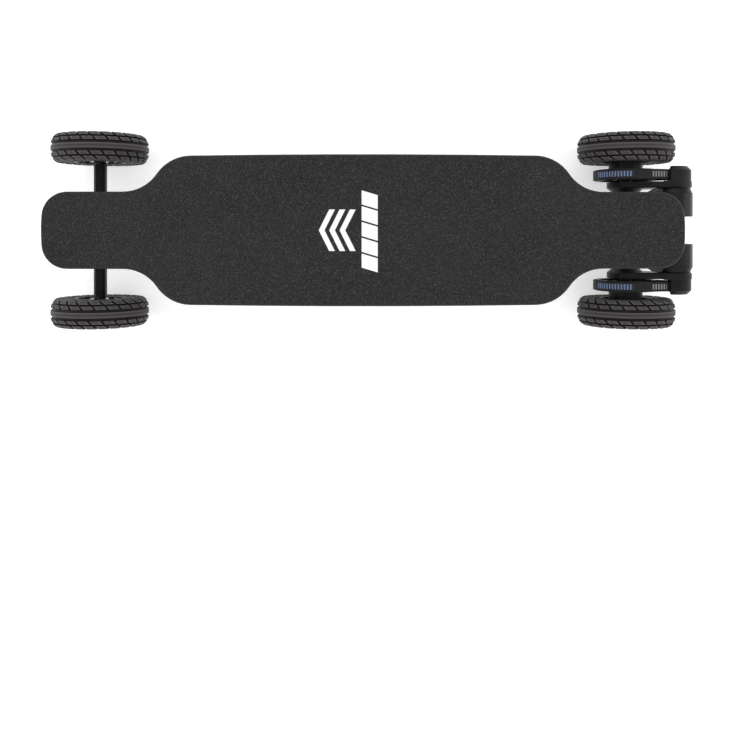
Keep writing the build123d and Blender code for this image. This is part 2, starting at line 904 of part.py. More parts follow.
def bushing_pair():
    """A barrel bushing on the board side of the ring and a cone on the road side."""
    start = ring_width / 2
    end = start + bushing_height
    bore = along_kingpin(-end, end, kingpin_diameter / 2 + running_gap)
    barrel = along_kingpin(-start, -end, bushing_diameter / 2 - 0.5)
    barrel = chamfer(barrel.edges().filter_by(GeomType.CIRCLE), 1.2)
    cone = kingpin_plane * Pos(0, 0, start) * Cone(
        bushing_diameter / 2 - 0.5, bushing_cone_diameter / 2, bushing_height, align=UP
    )
    return [barrel - bore, cone - bore]


def pivot_cup():
    start = -pivot_ball_diameter / 2 - pivot_cup_floor
    cup = along_pivot(start, pivot_cup_mouth, pivot_cup_diameter / 2)
    socket_radius = pivot_ball_diameter / 2 + running_gap
    cup -= along_pivot(0, pivot_cup_mouth, socket_radius)
    cup -= Pos(pivot_x, 0, pivot_z) * Sphere(socket_radius)
    return cup


def hanger_heart():
    """The ring round the kingpin, the web and arms down to the bar, and the pivot nose."""
    ring = along_kingpin(-ring_width / 2, ring_width / 2, ring_diameter / 2)
    ring = fillet(ring.edges().filter_by(GeomType.CIRCLE), 2)
    root = 8.0
    root_x = pivot_x + root * math.cos(steer)
    root_z = pivot_z + root * math.sin(steer)
    nose = along_pivot(0, root + 4, pivot_ball_diameter / 2)
    nose += Pos(pivot_x, 0, pivot_z) * Sphere(pivot_ball_diameter / 2)
    heel = kingpin_plane * box_between(
        (-pivot_reach + root - 1, -8, -ring_width / 2), (-8, 8, ring_width / 2)
    )
    web = box_between((-9, -14, axle_z), (6, 14, ring_z - 12))
    heart = ring + nose + heel + web
    knuckle_x = root_x + 2.5 * math.cos(steer)
    knuckle_z = root_z + 2.5 * math.sin(steer)
    for side in (-1, 1):
        arm_foot = (-2, side * arm_spread, axle_z + 3)
        heart += between(arm_foot, (knuckle_x, side * 4, knuckle_z), arm_diameter / 2)
    heart += Pos(knuckle_x, 0, knuckle_z) * Sphere(arm_diameter / 2 + 2)
    heart -= along_pivot(-20, pivot_cup_mouth + 0.6, 20) - along_pivot(-20, pivot_cup_mouth + 0.6, 6.001)
    return heart


def kingpin_passage():
    """What the kingpin, its bushings and washers need free in the hanger."""
    side = ring_width / 2
    passage = along_kingpin(-30, 30, ring_bore / 2)
    passage += along_kingpin(side, 40, bushing_diameter / 2 + 3)
    passage += along_kingpin(-side, -40, bushing_diameter / 2 + 3)
    return passage


def front_hanger():
    """A square bar with broken edges, a little thicker in its middle."""
    end = hanger_end
    half = bar_section / 2
    bar = box_between((-half, -end, axle_z - half), (half, end, axle_z + half))
    bar = chamfer(bar.edges().filter_by(Axis.Y), 4)
    half = bar_middle_section / 2
    middle = box_between(
        (-half, -bar_middle_length / 2, axle_z - half), (half, bar_middle_length / 2, axle_z + half)
    )
    middle = chamfer(middle.edges(), 3)
    hanger = bar + middle + (hanger_heart() - kingpin_passage())
    return hanger - across(0, axle_z, -end, end, axle_diameter / 2 + fit)


def rear_hanger():
    """A round bar, thicker in its middle, with plain ends for the motor mounts."""
    end = mount_outer_y
    bar = across(0, axle_z, -end, end, bar_section / 2)
    middle = across(0, axle_z, -bar_middle_length / 2, bar_middle_length / 2, bar_middle_section / 2)
    middle = chamfer(middle.edges().filter_by(GeomType.CIRCLE), 0.7)
    hanger = bar + middle + (hanger_heart() - kingpin_passage())
    return hanger - across(0, axle_z, -end, end, axle_diameter / 2 + fit)


def axle():
    tip = wheel_y + hub_boss_outboard + axle_nut_height + 1.5 + axle_stub
    rod = across(0, axle_z, -tip, tip, axle_diameter / 2)
    return chamfer(rod.edges().filter_by(GeomType.CIRCLE), 1)


def axle_hardware(inner_end):
    """Spacers inside the wheels, and a washer and locking nut outside them."""
    pieces = []
    bearing_inner = wheel_y - hub_boss_inboard
    bearing_outer = wheel_y + hub_boss_outboard
    for side in (-1, 1):
        pieces.append(
            ring_across(0, axle_z, side * inner_end, side * bearing_inner, 8.5, axle_diameter / 2 + fit)
        )
        washer_end = bearing_outer + 1.5
        pieces.append(
            ring_across(0, axle_z, side * bearing_outer, side * washer_end, 11, axle_diameter / 2 + fit)
        )
        nut = hex_nut(axle_nut_width, axle_nut_height, axle_diameter / 2 + fit)
        pieces.append(Plane(origin=(0, side * washer_end, axle_z), z_dir=(0, side, 0)) * nut)
    return pieces


# ---------------------------------------------------------------- wheels, built about the rear axle
def tyre(side):
    """Airless rubber tyre: two tread grooves and a ring of holes through it."""
    half = tyre_width / 2
    radius = tyre_diameter / 2
    body = ring_across(0, axle_z, side * (wheel_y - half), side * (wheel_y + half), radius, tyre_bore / 2 + fit)
    rims = [e for e in body.edges().filter_by(GeomType.CIRCLE) if e.radius > radius - 1]
    body = fillet(rims, tyre_shoulder)
    for groove in (-1, 1):
        middle = side * wheel_y + groove * 6.0
        body -= ring_across(0, axle_z, middle - 1.5, middle + 1.5, radius + 1, radius - tread_groove)
    for index in range(sidewall_holes):
        angle = 2 * math.pi * index / sidewall_holes
        x = sidewall_hole_circle / 2 * math.cos(angle)
        z = axle_z + sidewall_hole_circle / 2 * math.sin(angle)
        body -= across(x, z, side * (wheel_y - half), side * (wheel_y + half), sidewall_hole_diameter / 2)
    return body


def hub_bolt_places():
    return [
        (hub_bolt_circle / 2 * math.cos(angle), axle_z + hub_bolt_circle / 2 * math.sin(angle))
        for angle in (2 * math.pi * (index + 0.25) / hub_bolts for index in range(hub_bolts))
    ]


def hub(side):
    """Rim barrel, web and bearing boss."""
    inner = wheel_y - hub_boss_inboard
    outer = wheel_y + hub_boss_outboard
    barrel_half = hub_width / 2
    body = ring_across(
        0,
        axle_z,
        side * (wheel_y - barrel_half),
        side * (wheel_y + barrel_half),
        tyre_bore / 2,
        tyre_bore / 2 - hub_rim_wall,
    )
    web_start = wheel_y - hub_web
    body += across(0, axle_z, side * web_start, side * (web_start + hub_web), tyre_bore / 2 - 1)
    body += across(0, axle_z, side * inner, side * outer, hub_boss_diameter / 2)
    body -= across(0, axle_z, side * inner, side * outer, axle_diameter / 2 + 2)
    for start in (inner, outer - bearing_width):
        body -= across(0, axle_z, side * start, side * (start + bearing_width), bearing_diameter / 2 + fit)
    for index in range(hub_holes):
        angle = 2 * math.pi * (index + 0.5) / hub_holes
        x = hub_hole_circle / 2 * math.cos(angle)
        z = axle_z + hub_hole_circle / 2 * math.sin(angle)
        body -= across(x, z, side * (web_start - 1), side * (web_start + hub_web + 1), hub_hole_diameter / 2)
    for x, z in hub_bolt_places():
        body -= across(x, z, side * inner, side * (inner + 14), 2.5 + screw_slack)
    return body


def bearings(side):
    inner = wheel_y - hub_boss_inboard
    outer = wheel_y + hub_boss_outboard
    return [
        ring_across(
            0,
            axle_z,
            side * start,
            side * (start + bearing_width),
            bearing_diameter / 2,
            axle_diameter / 2 + fit,
        )
        for start in (inner, outer - bearing_width)
    ]


def bolt_ring(side, head_y, length):
    """Five socket screws into the hub's boss, their heads facing the truck."""
    screws = []
    for x, z in hub_bolt_places():
        plane = Plane(origin=(x, side * head_y, z), z_dir=(0, side, 0))
        screws.append(plane * socket_screw(5, length, 4))
    return screws


def wheel_pulley(side):
    """A toothed rim on a dished web, with a boss that meets the hub."""
    start = side * pulley_inner_y
    end = side * (pulley_inner_y + pulley_width)
    bore = 8.5 + running_gap
    rim = ring_across(0, axle_z, start, end, wheel_pulley_radius, wheel_pulley_radius - 7)
    web = across(0, axle_z, start + side * 6, start + side * 12, wheel_pulley_radius - 3)
    boss = across(0, axle_z, start + side * 6, side * (wheel_y - hub_boss_inboard), hub_boss_diameter / 2)
    body = rim + web + boss - across(0, axle_z, start, side * wheel_y, bore)
    body -= teeth_cutters(0, axle_z, wheel_teeth, start, end)
    for x, z in hub_bolt_places():
        body -= across(x, z, start, side * wheel_y, 2.5 + screw_slack)
    return body


def teeth_cutters(x, z, teeth, start, end):
    """The round-bottomed belt grooves of a pulley."""
    radius = teeth * belt_pitch / (2 * math.pi) - tooth_relief
    cutters = []
    for index in range(teeth):
        angle = 2 * math.pi * index / teeth
        centre_x = x + radius * math.cos(angle)
        centre_z = z + radius * math.sin(angle)
        cutters.append(across(centre_x, centre_z, start, end, tooth_cut_diameter / 2))
    return cutters


# ---------------------------------------------------------------- belt drive, built about the rear axle
def motor_screw_places():
    return [
        (motor_x + mount_screw_circle / 2 * math.cos(angle), motor_z + mount_screw_circle / 2 * math.sin(angle))
        for angle in (math.pi / 4 + math.pi / 2 * index for index in range(4))
    ]


def motor_mount(side):
    """A plate with a flared clamp for the hanger and an arm out to the motor."""
    start = side * base_outer_y
    end = side * mount_outer_y
    face = strap_outline((0, axle_z), mount_disc_diameter / 2, (motor_x, motor_z), mount_motor_diameter / 2)
    plate = extrude_across(face, start, end)
    plate = chamfer(plate.edges().filter_by(lambda e: abs(e.center().Y - start) < 0.01), 1.5)
    flare = Plane(origin=(0, start - side * flare_length, axle_z), z_dir=(0, side, 0)) * Cone(
        bar_section / 2 + 3, mount_disc_diameter / 2 - 2, flare_length, align=UP
    )
    mount = plate + flare
    mount -= across(0, axle_z, side * 20, end, bar_section / 2 + fit)
    mount -= across(motor_x, motor_z, start, end, mount_shaft_hole / 2)
    for x, z in motor_screw_places():
        mount -= across(x, z, start, end, 2 + screw_slack)
    for x, z in guard_screw_places():
        mount -= across(x, z, start, end, guard_screw_diameter / 2 + screw_slack)
        head_end = start + side * guard_head_sink
        mount -= across(x, z, start, head_end, 0.85 * guard_screw_diameter + screw_slack)
    return mount


def guard_screw_places():
    """Two posts, either side of the line from the axle to the motor."""
    radius = mount_motor_diameter / 2 - 3.4
    return [
        (motor_x + radius * math.cos(angle), motor_z + radius * math.sin(angle))
        for angle in (math.radians(motor_heading + side * guard_post_swing) for side in (-1, 1))
    ]


def belt_guard(side):
    """A moulded cap round the rear of the motor pulley, open where the belt runs in."""
    start = side * mount_outer_y
    end = side * guard_outer_y
    outer = across(motor_x, motor_z, start, end, guard_diameter / 2)
    rim = [e for e in outer.edges().filter_by(GeomType.CIRCLE) if abs(e.center().Y - end) < 0.01]
    outer = chamfer(rim, guard_bevel)
    hollow_end = end - side * guard_wall
    inner = across(motor_x, motor_z, start, hollow_end, guard_diameter / 2 - guard_wall)
    rim = [e for e in inner.edges().filter_by(GeomType.CIRCLE) if abs(e.center().Y - hollow_end) < 0.01]
    guard = outer - chamfer(rim, guard_bevel - guard_wall / 2)
    low_y, high_y = sorted((start, end))
    belt_side = box_between((-60, low_y, -60), (-guard_start, high_y, 60))
    guard -= Pos(motor_x, 0, motor_z) * Rot(0, -motor_heading, 0) * belt_side
    window_middle = (start + end) / 2
    guard -= box_between(
        (motor_x + 12, window_middle - 5, motor_z - 6), (motor_x + 60, window_middle + 5, motor_z + 6)
    )
    for x, z in guard_screw_places():
        guard += across(x, z, start, start + side * guard_post_length, guard_post_diameter / 2)
    guard = guard & outer
    for x, z in guard_screw_places():
        pilot_end = start + side * (guard_post_length - 1)
        guard -= across(x, z, start, pilot_end, guard_screw_diameter / 2 + screw_slack)
    return guard


def motor_stator(side):
    """The motor's fixed half: base, bearing tube and wound core."""
    base_start = can_outer_y + running_gap
    body = Plane(origin=(motor_x, side * base_start, motor_z), z_dir=(0, side, 0)) * Cone(
        motor_diameter / 2 - 0.6, motor_diameter / 2 - 4, motor_base_length, align=UP
    )
    core_start = motor_inner_y + can_cap + 4
    core_end = can_outer_y - 4
    core_radius = motor_diameter / 2 - can_wall - stator_gap
    core = across(motor_x, motor_z, side * core_start, side * core_end, core_radius)
    for index in range(12):
        angle = 2 * math.pi * index / 12
        x = motor_x + (core_radius - 5) * math.cos(angle)
        z = motor_z + (core_radius - 5) * math.sin(angle)
        core -= across(x, z, side * core_start, side * core_end, 2.4)
    tube = across(motor_x, motor_z, side * core_start, side * base_start, 9)
    body += core
    body += tube
    body -= across(motor_x, motor_z, side * 10, side * base_outer_y, motor_shaft_diameter / 2 + fit)
    for x, z in motor_screw_places():
        body -= across(x, z, side * (base_outer_y - 5), side * base_outer_y, 2 + screw_slack)
    return body


def motor_can(side):
    """The motor's turning half: can, end cap with vents and shaft."""
    radius = motor_diameter / 2
    can = across(motor_x, motor_z, side * motor_inner_y, side * can_outer_y, radius)
    rim = [e for e in can.edges().filter_by(GeomType.CIRCLE) if abs(abs(e.center().Y) - motor_inner_y) < 0.01]
    can = fillet(rim, 2)
    can -= across(motor_x, motor_z, side * (motor_inner_y + can_cap), side * can_outer_y, radius - can_wall)
    for index in range(8):
        angle = 2 * math.pi * index / 8
        x = motor_x + 17 * math.cos(angle)
        z = motor_z + 17 * math.sin(angle)
        can -= across(x, z, side * motor_inner_y, side * (motor_inner_y + can_cap), 3.5)
    shaft_end = side * (pulley_inner_y + pulley_width)
    return can + across(motor_x, motor_z, side * motor_inner_y, shaft_end, motor_shaft_diameter / 2)


def motor_pulley(side):
    start = side * pulley_inner_y
    end = side * (pulley_inner_y + pulley_width)
    body = across(motor_x, motor_z, start, end, motor_pulley_radius)
    body -= teeth_cutters(motor_x, motor_z, motor_teeth, start, end)
    return body - across(motor_x, motor_z, start, end, motor_shaft_diameter / 2 + 0.02)


def drive_belt(side):
    start = side * belt_inner_y
    end = side * (belt_inner_y + belt_width)
    inner = strap_outline(
        (0, axle_z), wheel_pulley_radius + belt_gap, (motor_x, motor_z), motor_pulley_radius + belt_gap
    )
    outer = strap_outline(
        (0, axle_z),
        wheel_pulley_radius + belt_gap + belt_thickness,
        (motor_x, motor_z),
        motor_pulley_radius + belt_gap + belt_thickness,
    )
    return extrude_across(outer, start, end) - extrude_across(inner, start, end)


def drive_screws(side):
    """Screws through the mount into the motor, and into the guard's posts."""
    screws = []
    for x, z in motor_screw_places():
        plane = Plane(origin=(x, side * mount_outer_y, z), z_dir=(0, -side, 0))
        screws.append(plane * socket_screw(4, mount_thickness + 4, 2.6))
    for x, z in guard_screw_places():
        plane = Plane(origin=(x, side * (base_outer_y + guard_head_sink), z), z_dir=(0, side, 0))
        screws.append(plane * socket_screw(3, mount_thickness + 3, 2.4))
    return screws


# ---------------------------------------------------------------- writing the nodes
def write_node(name, pieces):
    solids = []
    for piece in pieces if isinstance(pieces, list) else [pieces]:
        moved = Pos(frame_shift, 0, 0) * piece
        solids.extend(moved.solids())
    shape = solids[0] if len(solids) == 1 else Compound(children=solids)
    shape.label = name
    export_step(shape, os.path.join("parts", name + ".step"))


def both_trucks(pieces):
    return [at_front(p) for p in pieces] + [at_rear(p) for p in pieces]


def write_board():
    write_node("deck", deck())
    write_node("grip_tape", grip_tape())
    write_node("enclosure_shell", enclosure_shell())
    write_node("enclosure_gasket", enclosure_gasket())
    write_node("enclosure_screws", enclosure_screws())
    write_node("battery_pack", battery_pack())
    write_node("motor_controller", [motor_controller(), controller_pad()])
    write_node("skid_strips", skid_strips())
    write_node("controller_hatch", controller_hatch())
    write_node("trim_screws", trim_screws())
    write_node("button_bezel", button_bezel())
    write_node("power_button", power_button())
    write_node("charge_port", charge_port())
    write_node("cable_grommets", cable_grommets())
    write_node("motor_leads", motor_leads())


def write_trucks():
    write_node("riser_pads", both_trucks([riser_pad()]))
    write_node("truck_screws", both_trucks(truck_screw_group()))
    write_node("kingpin_sets", both_trucks(kingpin_set()))
    write_node("pivot_cups", both_trucks([pivot_cup()]))
    for end, place in (("front", at_front), ("rear", at_rear)):
        write_node(end + "_baseplate", place(baseplate()))
        write_node(end + "_bushings", [place(b) for b in bushing_pair()])
        write_node(end + "_axle", place(axle()))
    write_node("front_hanger", at_front(front_hanger()))
    write_node("rear_hanger", at_rear(rear_hanger()))
    write_node("front_axle_hardware", [at_front(p) for p in axle_hardware(hanger_end)])
    write_node("rear_axle_hardware", [at_rear(p) for p in axle_hardware(mount_outer_y)])


def write_wheels():
    front_head = wheel_y - hub_boss_inboard
    rear_head = pulley_inner_y + 6
    for side_name, side in (("left", -1), ("right", 1)):
        for end, place, turned in (("front", at_front, -side), ("rear", at_rear, side)):
            name = end + "_" + side_name
            write_node(name + "_tyre", place(tyre(turned)))
            write_node(name + "_hub", place(hub(turned)))
            write_node(name + "_bearings", [place(b) for b in bearings(turned)])
            head, length = (front_head, 12) if end == "front" else (rear_head, 12 + front_head - rear_head)
            write_node(name + "_hub_bolts", [place(b) for b in bolt_ring(turned, head, length)])


def write_drive():
    screws = []
    for side_name, side in (("left", -1), ("right", 1)):
        write_node(side_name + "_wheel_pulley", at_rear(wheel_pulley(side)))
        write_node(side_name + "_motor_mount", at_rear(motor_mount(side)))
        write_node(side_name + "_belt_guard", at_rear(belt_guard(side)))
        write_node(side_name + "_motor_stator", at_rear(motor_stator(side)))
        write_node(side_name + "_motor_can", at_rear(motor_can(side)))
        write_node(side_name + "_motor_pulley", at_rear(motor_pulley(side)))
        write_node(side_name + "_drive_belt", at_rear(drive_belt(side)))
        screws.extend(at_rear(s) for s in drive_screws(side))
    write_node("drive_screws", screws)


os.makedirs("parts", exist_ok=True)
write_board()
write_trucks()
write_wheels()
write_drive()
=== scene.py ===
import math

import bmesh
import bpy
from mathutils import Matrix, Vector


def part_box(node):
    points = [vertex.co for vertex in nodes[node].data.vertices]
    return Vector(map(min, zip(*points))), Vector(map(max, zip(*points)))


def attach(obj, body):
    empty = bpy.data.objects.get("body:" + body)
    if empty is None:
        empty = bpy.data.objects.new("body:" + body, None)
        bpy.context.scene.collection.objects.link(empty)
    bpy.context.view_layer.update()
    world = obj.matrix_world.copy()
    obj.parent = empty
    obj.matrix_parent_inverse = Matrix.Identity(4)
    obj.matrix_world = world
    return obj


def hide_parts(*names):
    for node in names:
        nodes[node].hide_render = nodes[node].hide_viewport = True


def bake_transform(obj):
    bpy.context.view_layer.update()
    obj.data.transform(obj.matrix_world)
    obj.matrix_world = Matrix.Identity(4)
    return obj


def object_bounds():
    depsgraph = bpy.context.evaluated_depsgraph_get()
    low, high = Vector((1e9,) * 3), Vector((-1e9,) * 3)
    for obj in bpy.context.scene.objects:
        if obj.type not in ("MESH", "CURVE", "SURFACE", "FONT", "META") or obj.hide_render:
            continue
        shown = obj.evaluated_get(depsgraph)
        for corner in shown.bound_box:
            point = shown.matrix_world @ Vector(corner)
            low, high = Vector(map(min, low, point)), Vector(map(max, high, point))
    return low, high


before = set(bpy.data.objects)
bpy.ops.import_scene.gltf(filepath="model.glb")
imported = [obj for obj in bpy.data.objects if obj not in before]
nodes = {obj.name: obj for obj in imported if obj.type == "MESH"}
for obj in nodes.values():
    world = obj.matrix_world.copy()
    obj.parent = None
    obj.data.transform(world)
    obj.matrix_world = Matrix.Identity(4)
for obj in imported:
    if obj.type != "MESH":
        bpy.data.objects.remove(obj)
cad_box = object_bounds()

scene = bpy.context.scene


# ------------------------------------------------------------------ deck
# A flat deck pressed from seven plies, stained black and lacquered, with its
# rims rounded over. The lacquer is thin and rubbed lighter along the rims, and a
# painted sheen lightens the rims further.
class Field:
    """A number or a colour that varies over a surface, to be used in sums."""

    def __init__(self, finish, socket):
        self.finish = finish
        self.socket = socket

    def maths(self, operation, *values):
        return self.finish.node("ShaderNodeMath", {"operation": operation}, values)

    def __add__(self, other):
        return self.maths("ADD", self, other)

    def __sub__(self, other):
        return self.maths("SUBTRACT", self, other)

    def __rsub__(self, other):
        return self.maths("SUBTRACT", other, self)

    def __mul__(self, other):
        return self.maths("MULTIPLY", self, other)

    def __mod__(self, other):
        return self.maths("FLOORED_MODULO", self, other)

    def __lt__(self, other):
        return self.maths("LESS_THAN", self, other)

    def __gt__(self, other):
        return self.maths("GREATER_THAN", self, other)

    def __abs__(self):
        return self.maths("ABSOLUTE", self)

    __radd__ = __add__
    __rmul__ = __mul__

    def at_least(self, other):
        return self.maths("MAXIMUM", self, other)

    def other(self, output):
        """Another output of the same node."""
        return Field(self.finish, self.socket.node.outputs[output])


class Finish:
    """One material: its shader, and the one method that adds any other node."""

    def __init__(self, name, colour, roughness, constants=None):
        self.material = bpy.data.materials.new(name)
        self.material.use_nodes = True
        self.tree = self.material.node_tree
        self.shader = self.tree.nodes["Principled BSDF"]
        self.shader.inputs["Base Color"].default_value = (*colour, 1)
        self.shader.inputs["Roughness"].default_value = roughness
        for socket, value in (constants or {}).items():
            self.shader.inputs[socket].default_value = value

    def node(self, kind, settings=None, values=(), output=0):
        """Adds a node: its settings first, then the values or links of its sockets."""
        made = self.tree.nodes.new(kind)
        for name, value in (settings or {}).items():
            setattr(made, name, value)
        for key, value in values.items() if isinstance(values, dict) else enumerate(values):
            if isinstance(value, Field):
                self.tree.links.new(value.socket, made.inputs[key])
            else:
                made.inputs[key].default_value = value
        return Field(self, made.outputs[output])

    def drive(self, socket, field):
        self.tree.links.new(field.socket, self.shader.inputs[socket])

    def place(self, centre=(0, 0, 0), stretch=(1, 1, 1), turn=(0, 0, 0)):
        """Object coordinates about a centre, turned and then stretched."""
        here = self.node("ShaderNodeTexCoord", output="Object")
        about = self.node("ShaderNodeVectorMath", {"operation": "SUBTRACT"}, [here, centre])
        values = {"Vector": about, "Rotation": turn, "Scale": stretch}
        return self.node("ShaderNodeMapping", None, values)

    def axes(self, centre, turn=(0, 0, 0)):
        x = self.node("ShaderNodeSeparateXYZ", None, [self.place(centre, turn=turn)])
        return x, x.other("Y"), x.other("Z")

    def noise(self, scale, detail=3.0, stretch=(1, 1, 1)):
        values = {"Vector": self.place(stretch=stretch), "Scale": scale, "Detail": detail}
        return self.node("ShaderNodeTexNoise", None, values)

    def cells(self, scale, output="Distance"):
        values = {"Vector": self.place(), "Scale": scale}
        return self.node("ShaderNodeTexVoronoi", None, values, output)

    def spread(self, field, low, high, to_low=0.0, to_high=1.0):
        return self.node("ShaderNodeMapRange", None, [field, low, high, to_low, to_high])

    def mix(self, mask, first, second):
        """A colour between two: first where the mask is 0, second where it is 1."""
        first, second = (c if isinstance(c, Field) else (*c, 1) for c in (first, second))
        values = {0: mask, 6: first, 7: second}
        return self.node("ShaderNodeMix", {"data_type": "RGBA"}, values, 2)

    def rounded(self, radius):
        """Normals that roll over the sharp edges."""
        return self.node("ShaderNodeBevel", {"samples": 4}, {"Radius": radius})

    def edges(self, radius):
        """1 along the sharp edges and 0 on the faces between them."""
        faces = self.node("ShaderNodeNewGeometry", output="Normal")
        pair = [self.rounded(radius), faces]
        match = self.node("ShaderNodeVectorMath", {"operation": "DOT_PRODUCT"}, pair, "Value")
        return self.spread(1 - match, 0.02, 0.25)

    def relief(self, height, depth, strength=1.0, normal=None):
        values = {"Height": height, "Distance": depth, "Strength": strength}
        if normal is not None:
            values["Normal"] = normal
        self.drive("Normal", self.node("ShaderNodeBump", None, values))


def dress(finish, *names):
    """Gives CAD nodes their finish."""
    for name in names:
        for material_slot in nodes[name].material_slots:
            material_slot.material = finish.material


deck_low, deck_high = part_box("deck")
deck_middle = (deck_low + deck_high) / 2
ply_thickness = 0.0017

lacquer = Finish("deck_lacquer", (0.012, 0.012, 0.013), 0.42, {"Specular IOR Level": 0.3})
grain = lacquer.noise(90, 5, (0.12, 1, 1))
ply = lacquer.axes(deck_low)[2] * (1 / ply_thickness)
ply_line = lacquer.spread(abs(ply % 1 - 0.5), 0.36, 0.48)
# Lighter along the rims: partly rubbed-through lacquer, partly a painted sheen.
rim = lacquer.edges(0.0022)
wood = lacquer.mix(grain * 0.6 + ply_line * 0.25, (0.008, 0.008, 0.0085), (0.02, 0.0195, 0.019))
lacquer.drive("Base Color", lacquer.mix(rim * 0.4, wood, (0.09, 0.09, 0.093)))
lacquer.drive("Roughness", lacquer.spread(grain, 0.2, 0.8, 0.36, 0.55))
lacquer.relief(grain + ply_line, 0.00012)
dress(lacquer, "deck")

# ------------------------------------------------------------------ grip sheet
# Self-adhesive black grit sheet over the whole deck, a little inset from its
# rim. The white print on it is plain: three chevrons and a barred stripe.
chevron_front = -0.066
chevron_rear = -0.021
chevron_pitch = 0.0155
chevron_line = 0.0085
chevron_reach = 0.031
chevron_slope = 0.5
stripe_front = -0.002
stripe_rear = 0.022
stripe_reach = 0.059
stripe_bar = 0.0236
stripe_gap = 0.0026
stripe_slope = 0.3
grit_size = 0.0009

grit = Finish("grit_sheet", (0.02, 0.02, 0.021), 0.85, {"Specular IOR Level": 0.15})
along, sideways, _ = grit.axes(deck_middle)
chevron_run = along - abs(sideways) * chevron_slope
in_row = (chevron_run > chevron_front) * (chevron_run < chevron_rear)
chevron = in_row * ((chevron_run - chevron_front) % chevron_pitch < chevron_line)
chevron = chevron * (abs(sideways) < chevron_reach)
leaning = sideways + along * stripe_slope
stripe = (along > stripe_front) * (along < stripe_rear) * (abs(leaning) < stripe_reach)
stripe = stripe * ((leaning + stripe_reach) % stripe_bar > stripe_gap)
printed = chevron + stripe

grit_tint = grit.node("ShaderNodeSeparateColor", None, [grit.cells(1 / grit_size, "Color")])
# Bright specks on single grains: a painted glint on the grit, with lower roughness there.
painted_grit_glint = grit.spread(grit_tint, 0.8, 1.0)
grit_shade = grit_tint.other("Green")
sheet = grit.mix(grit_shade, (0.0105, 0.0105, 0.0115), (0.027, 0.027, 0.0285))
sheet = grit.mix(painted_grit_glint * 0.5, sheet, (0.12, 0.12, 0.122))
sheet = grit.mix(grit.spread(grit.noise(7), 0.35, 0.75) * 0.2, sheet, (0.04, 0.04, 0.041))
ink = grit.mix(grit_shade * 0.35, (0.88, 0.88, 0.88), (0.66, 0.66, 0.66))
grit.drive("Base Color", grit.mix(printed, sheet, ink))
grit.drive("Roughness", grit.spread(painted_grit_glint, 0.0, 1.0, 0.9, 0.45))
grit.relief(1 - grit.cells(1 / grit_size), 0.0004, 0.7)
dress(grit, "grip_tape")

# ------------------------------------------------------------------ enclosure
# A thick black ABS tub moulded with a flange and two steps, screwed up under
# the deck. Its faces are finely pebbled by the mould, with a satin bloom.
moulded = Finish("moulded_shell", (0.009, 0.009, 0.0095), 0.46, {"Specular IOR Level": 0.3})
pebble = moulded.noise(1400, 2)
bloom = moulded.noise(9, 4)
shell_tone = moulded.mix(moulded.spread(bloom, 0.3, 0.75), (0.007, 0.007, 0.0075), (0.012, 0.0115, 0.0115))
moulded.drive("Base Color", moulded.mix(moulded.edges(0.0016) * 0.3, shell_tone, (0.04, 0.04, 0.04)))
moulded.drive("Roughness", moulded.spread(bloom, 0.3, 0.7, 0.36, 0.5))
moulded.relief(pebble, 0.00008, 0.6, moulded.rounded(0.0014))
dress(moulded, "enclosure_shell")

# ------------------------------------------------------------------ foam gasket and riser pads
# A closed-cell foam ring seals the tub to the deck, and each truck stands on
# a die-cut pad of the same black stuff, cut ends showing its cells.
foam = Finish("black_foam", (0.018, 0.018, 0.018), 0.9)
foam_cells = foam.cells(1600)
foam.drive("Base Color", foam.mix(foam_cells, (0.035, 0.035, 0.035), (0.01, 0.01, 0.01)))
foam.relief(foam_cells, 0.0002)
dress(foam, "enclosure_gasket", "riser_pads")

# ------------------------------------------------------------------ battery and motor controller
# Both lie inside the tub: a pack in blue shrink wrap, creased where it was
# pulled tight, and a finned aluminium case straight from the press.
shrink_wrap = Finish("shrink_wrap", (0.04, 0.14, 0.4), 0.3, {"Coat Weight": 0.4})
creases = shrink_wrap.noise(60, 4, (0.3, 1, 1))
# Darker in the hollows of the creases and lighter on their ridges: painted shade and light.
shrink_wrap.drive("Base Color", shrink_wrap.mix(creases, (0.03, 0.11, 0.34), (0.06, 0.2, 0.5)))
shrink_wrap.relief(creases, 0.0008, 0.6)
dress(shrink_wrap, "battery_pack")

pressed = Finish("pressed_aluminium", (0.6, 0.6, 0.62), 0.45, {"Metallic": 1.0})
die_lines = pressed.noise(1500, 3, (0.02, 1, 1))
pressed.drive("Base Color", pressed.mix(die_lines, (0.48, 0.48, 0.5), (0.68, 0.68, 0.7)))
pressed.relief(die_lines, 0.00008, 0.7)
dress(pressed, "motor_controller")

# ------------------------------------------------------------------ aluminium strips
# Two flat strips, cut on the slant at their ends, brushed lengthways and clear
# anodised, which save the tub's ledges from scrapes.
brushed = Finish("brushed_strip", (0.74, 0.74, 0.76), 0.3, {"Metallic": 1.0})
brush = brushed.noise(2400, 2, (0.012, 1, 1))
stain = brushed.noise(25, 4)
strip_tone = brushed.mix(brush * 0.6 + stain * 0.4, (0.44, 0.44, 0.46), (0.66, 0.66, 0.68))
brushed.drive("Base Color", brushed.mix(brushed.edges(0.0006), strip_tone, (0.8, 0.8, 0.81)))
brushed.drive("Roughness", brushed.spread(brush + stain * 0.3, 0.2, 1.0, 0.24, 0.5))
brushed.relief(brush, 0.00004, 0.8, brushed.rounded(0.0003))
dress(brushed, "skid_strips")

# ------------------------------------------------------------------ controller hatch
# A gloss black plate over the controller, silk-screened in pale grey with a
# border line, rows of plain bars and a block of plain squares.
hatch_low, hatch_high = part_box("controller_hatch")
border_x = 0.057
border_y = 0.0445
border_line = 0.0009
row_pitch = 0.0078
row_bar = 0.0011
rows_front = 0.004
rows_rear = 0.05
rows_reach = 0.024
square_pitch = 0.0155
square_side = 0.0085
square_line = 0.0009
squares_front = -0.05
squares_rear = -0.0075
squares_reach = 0.031

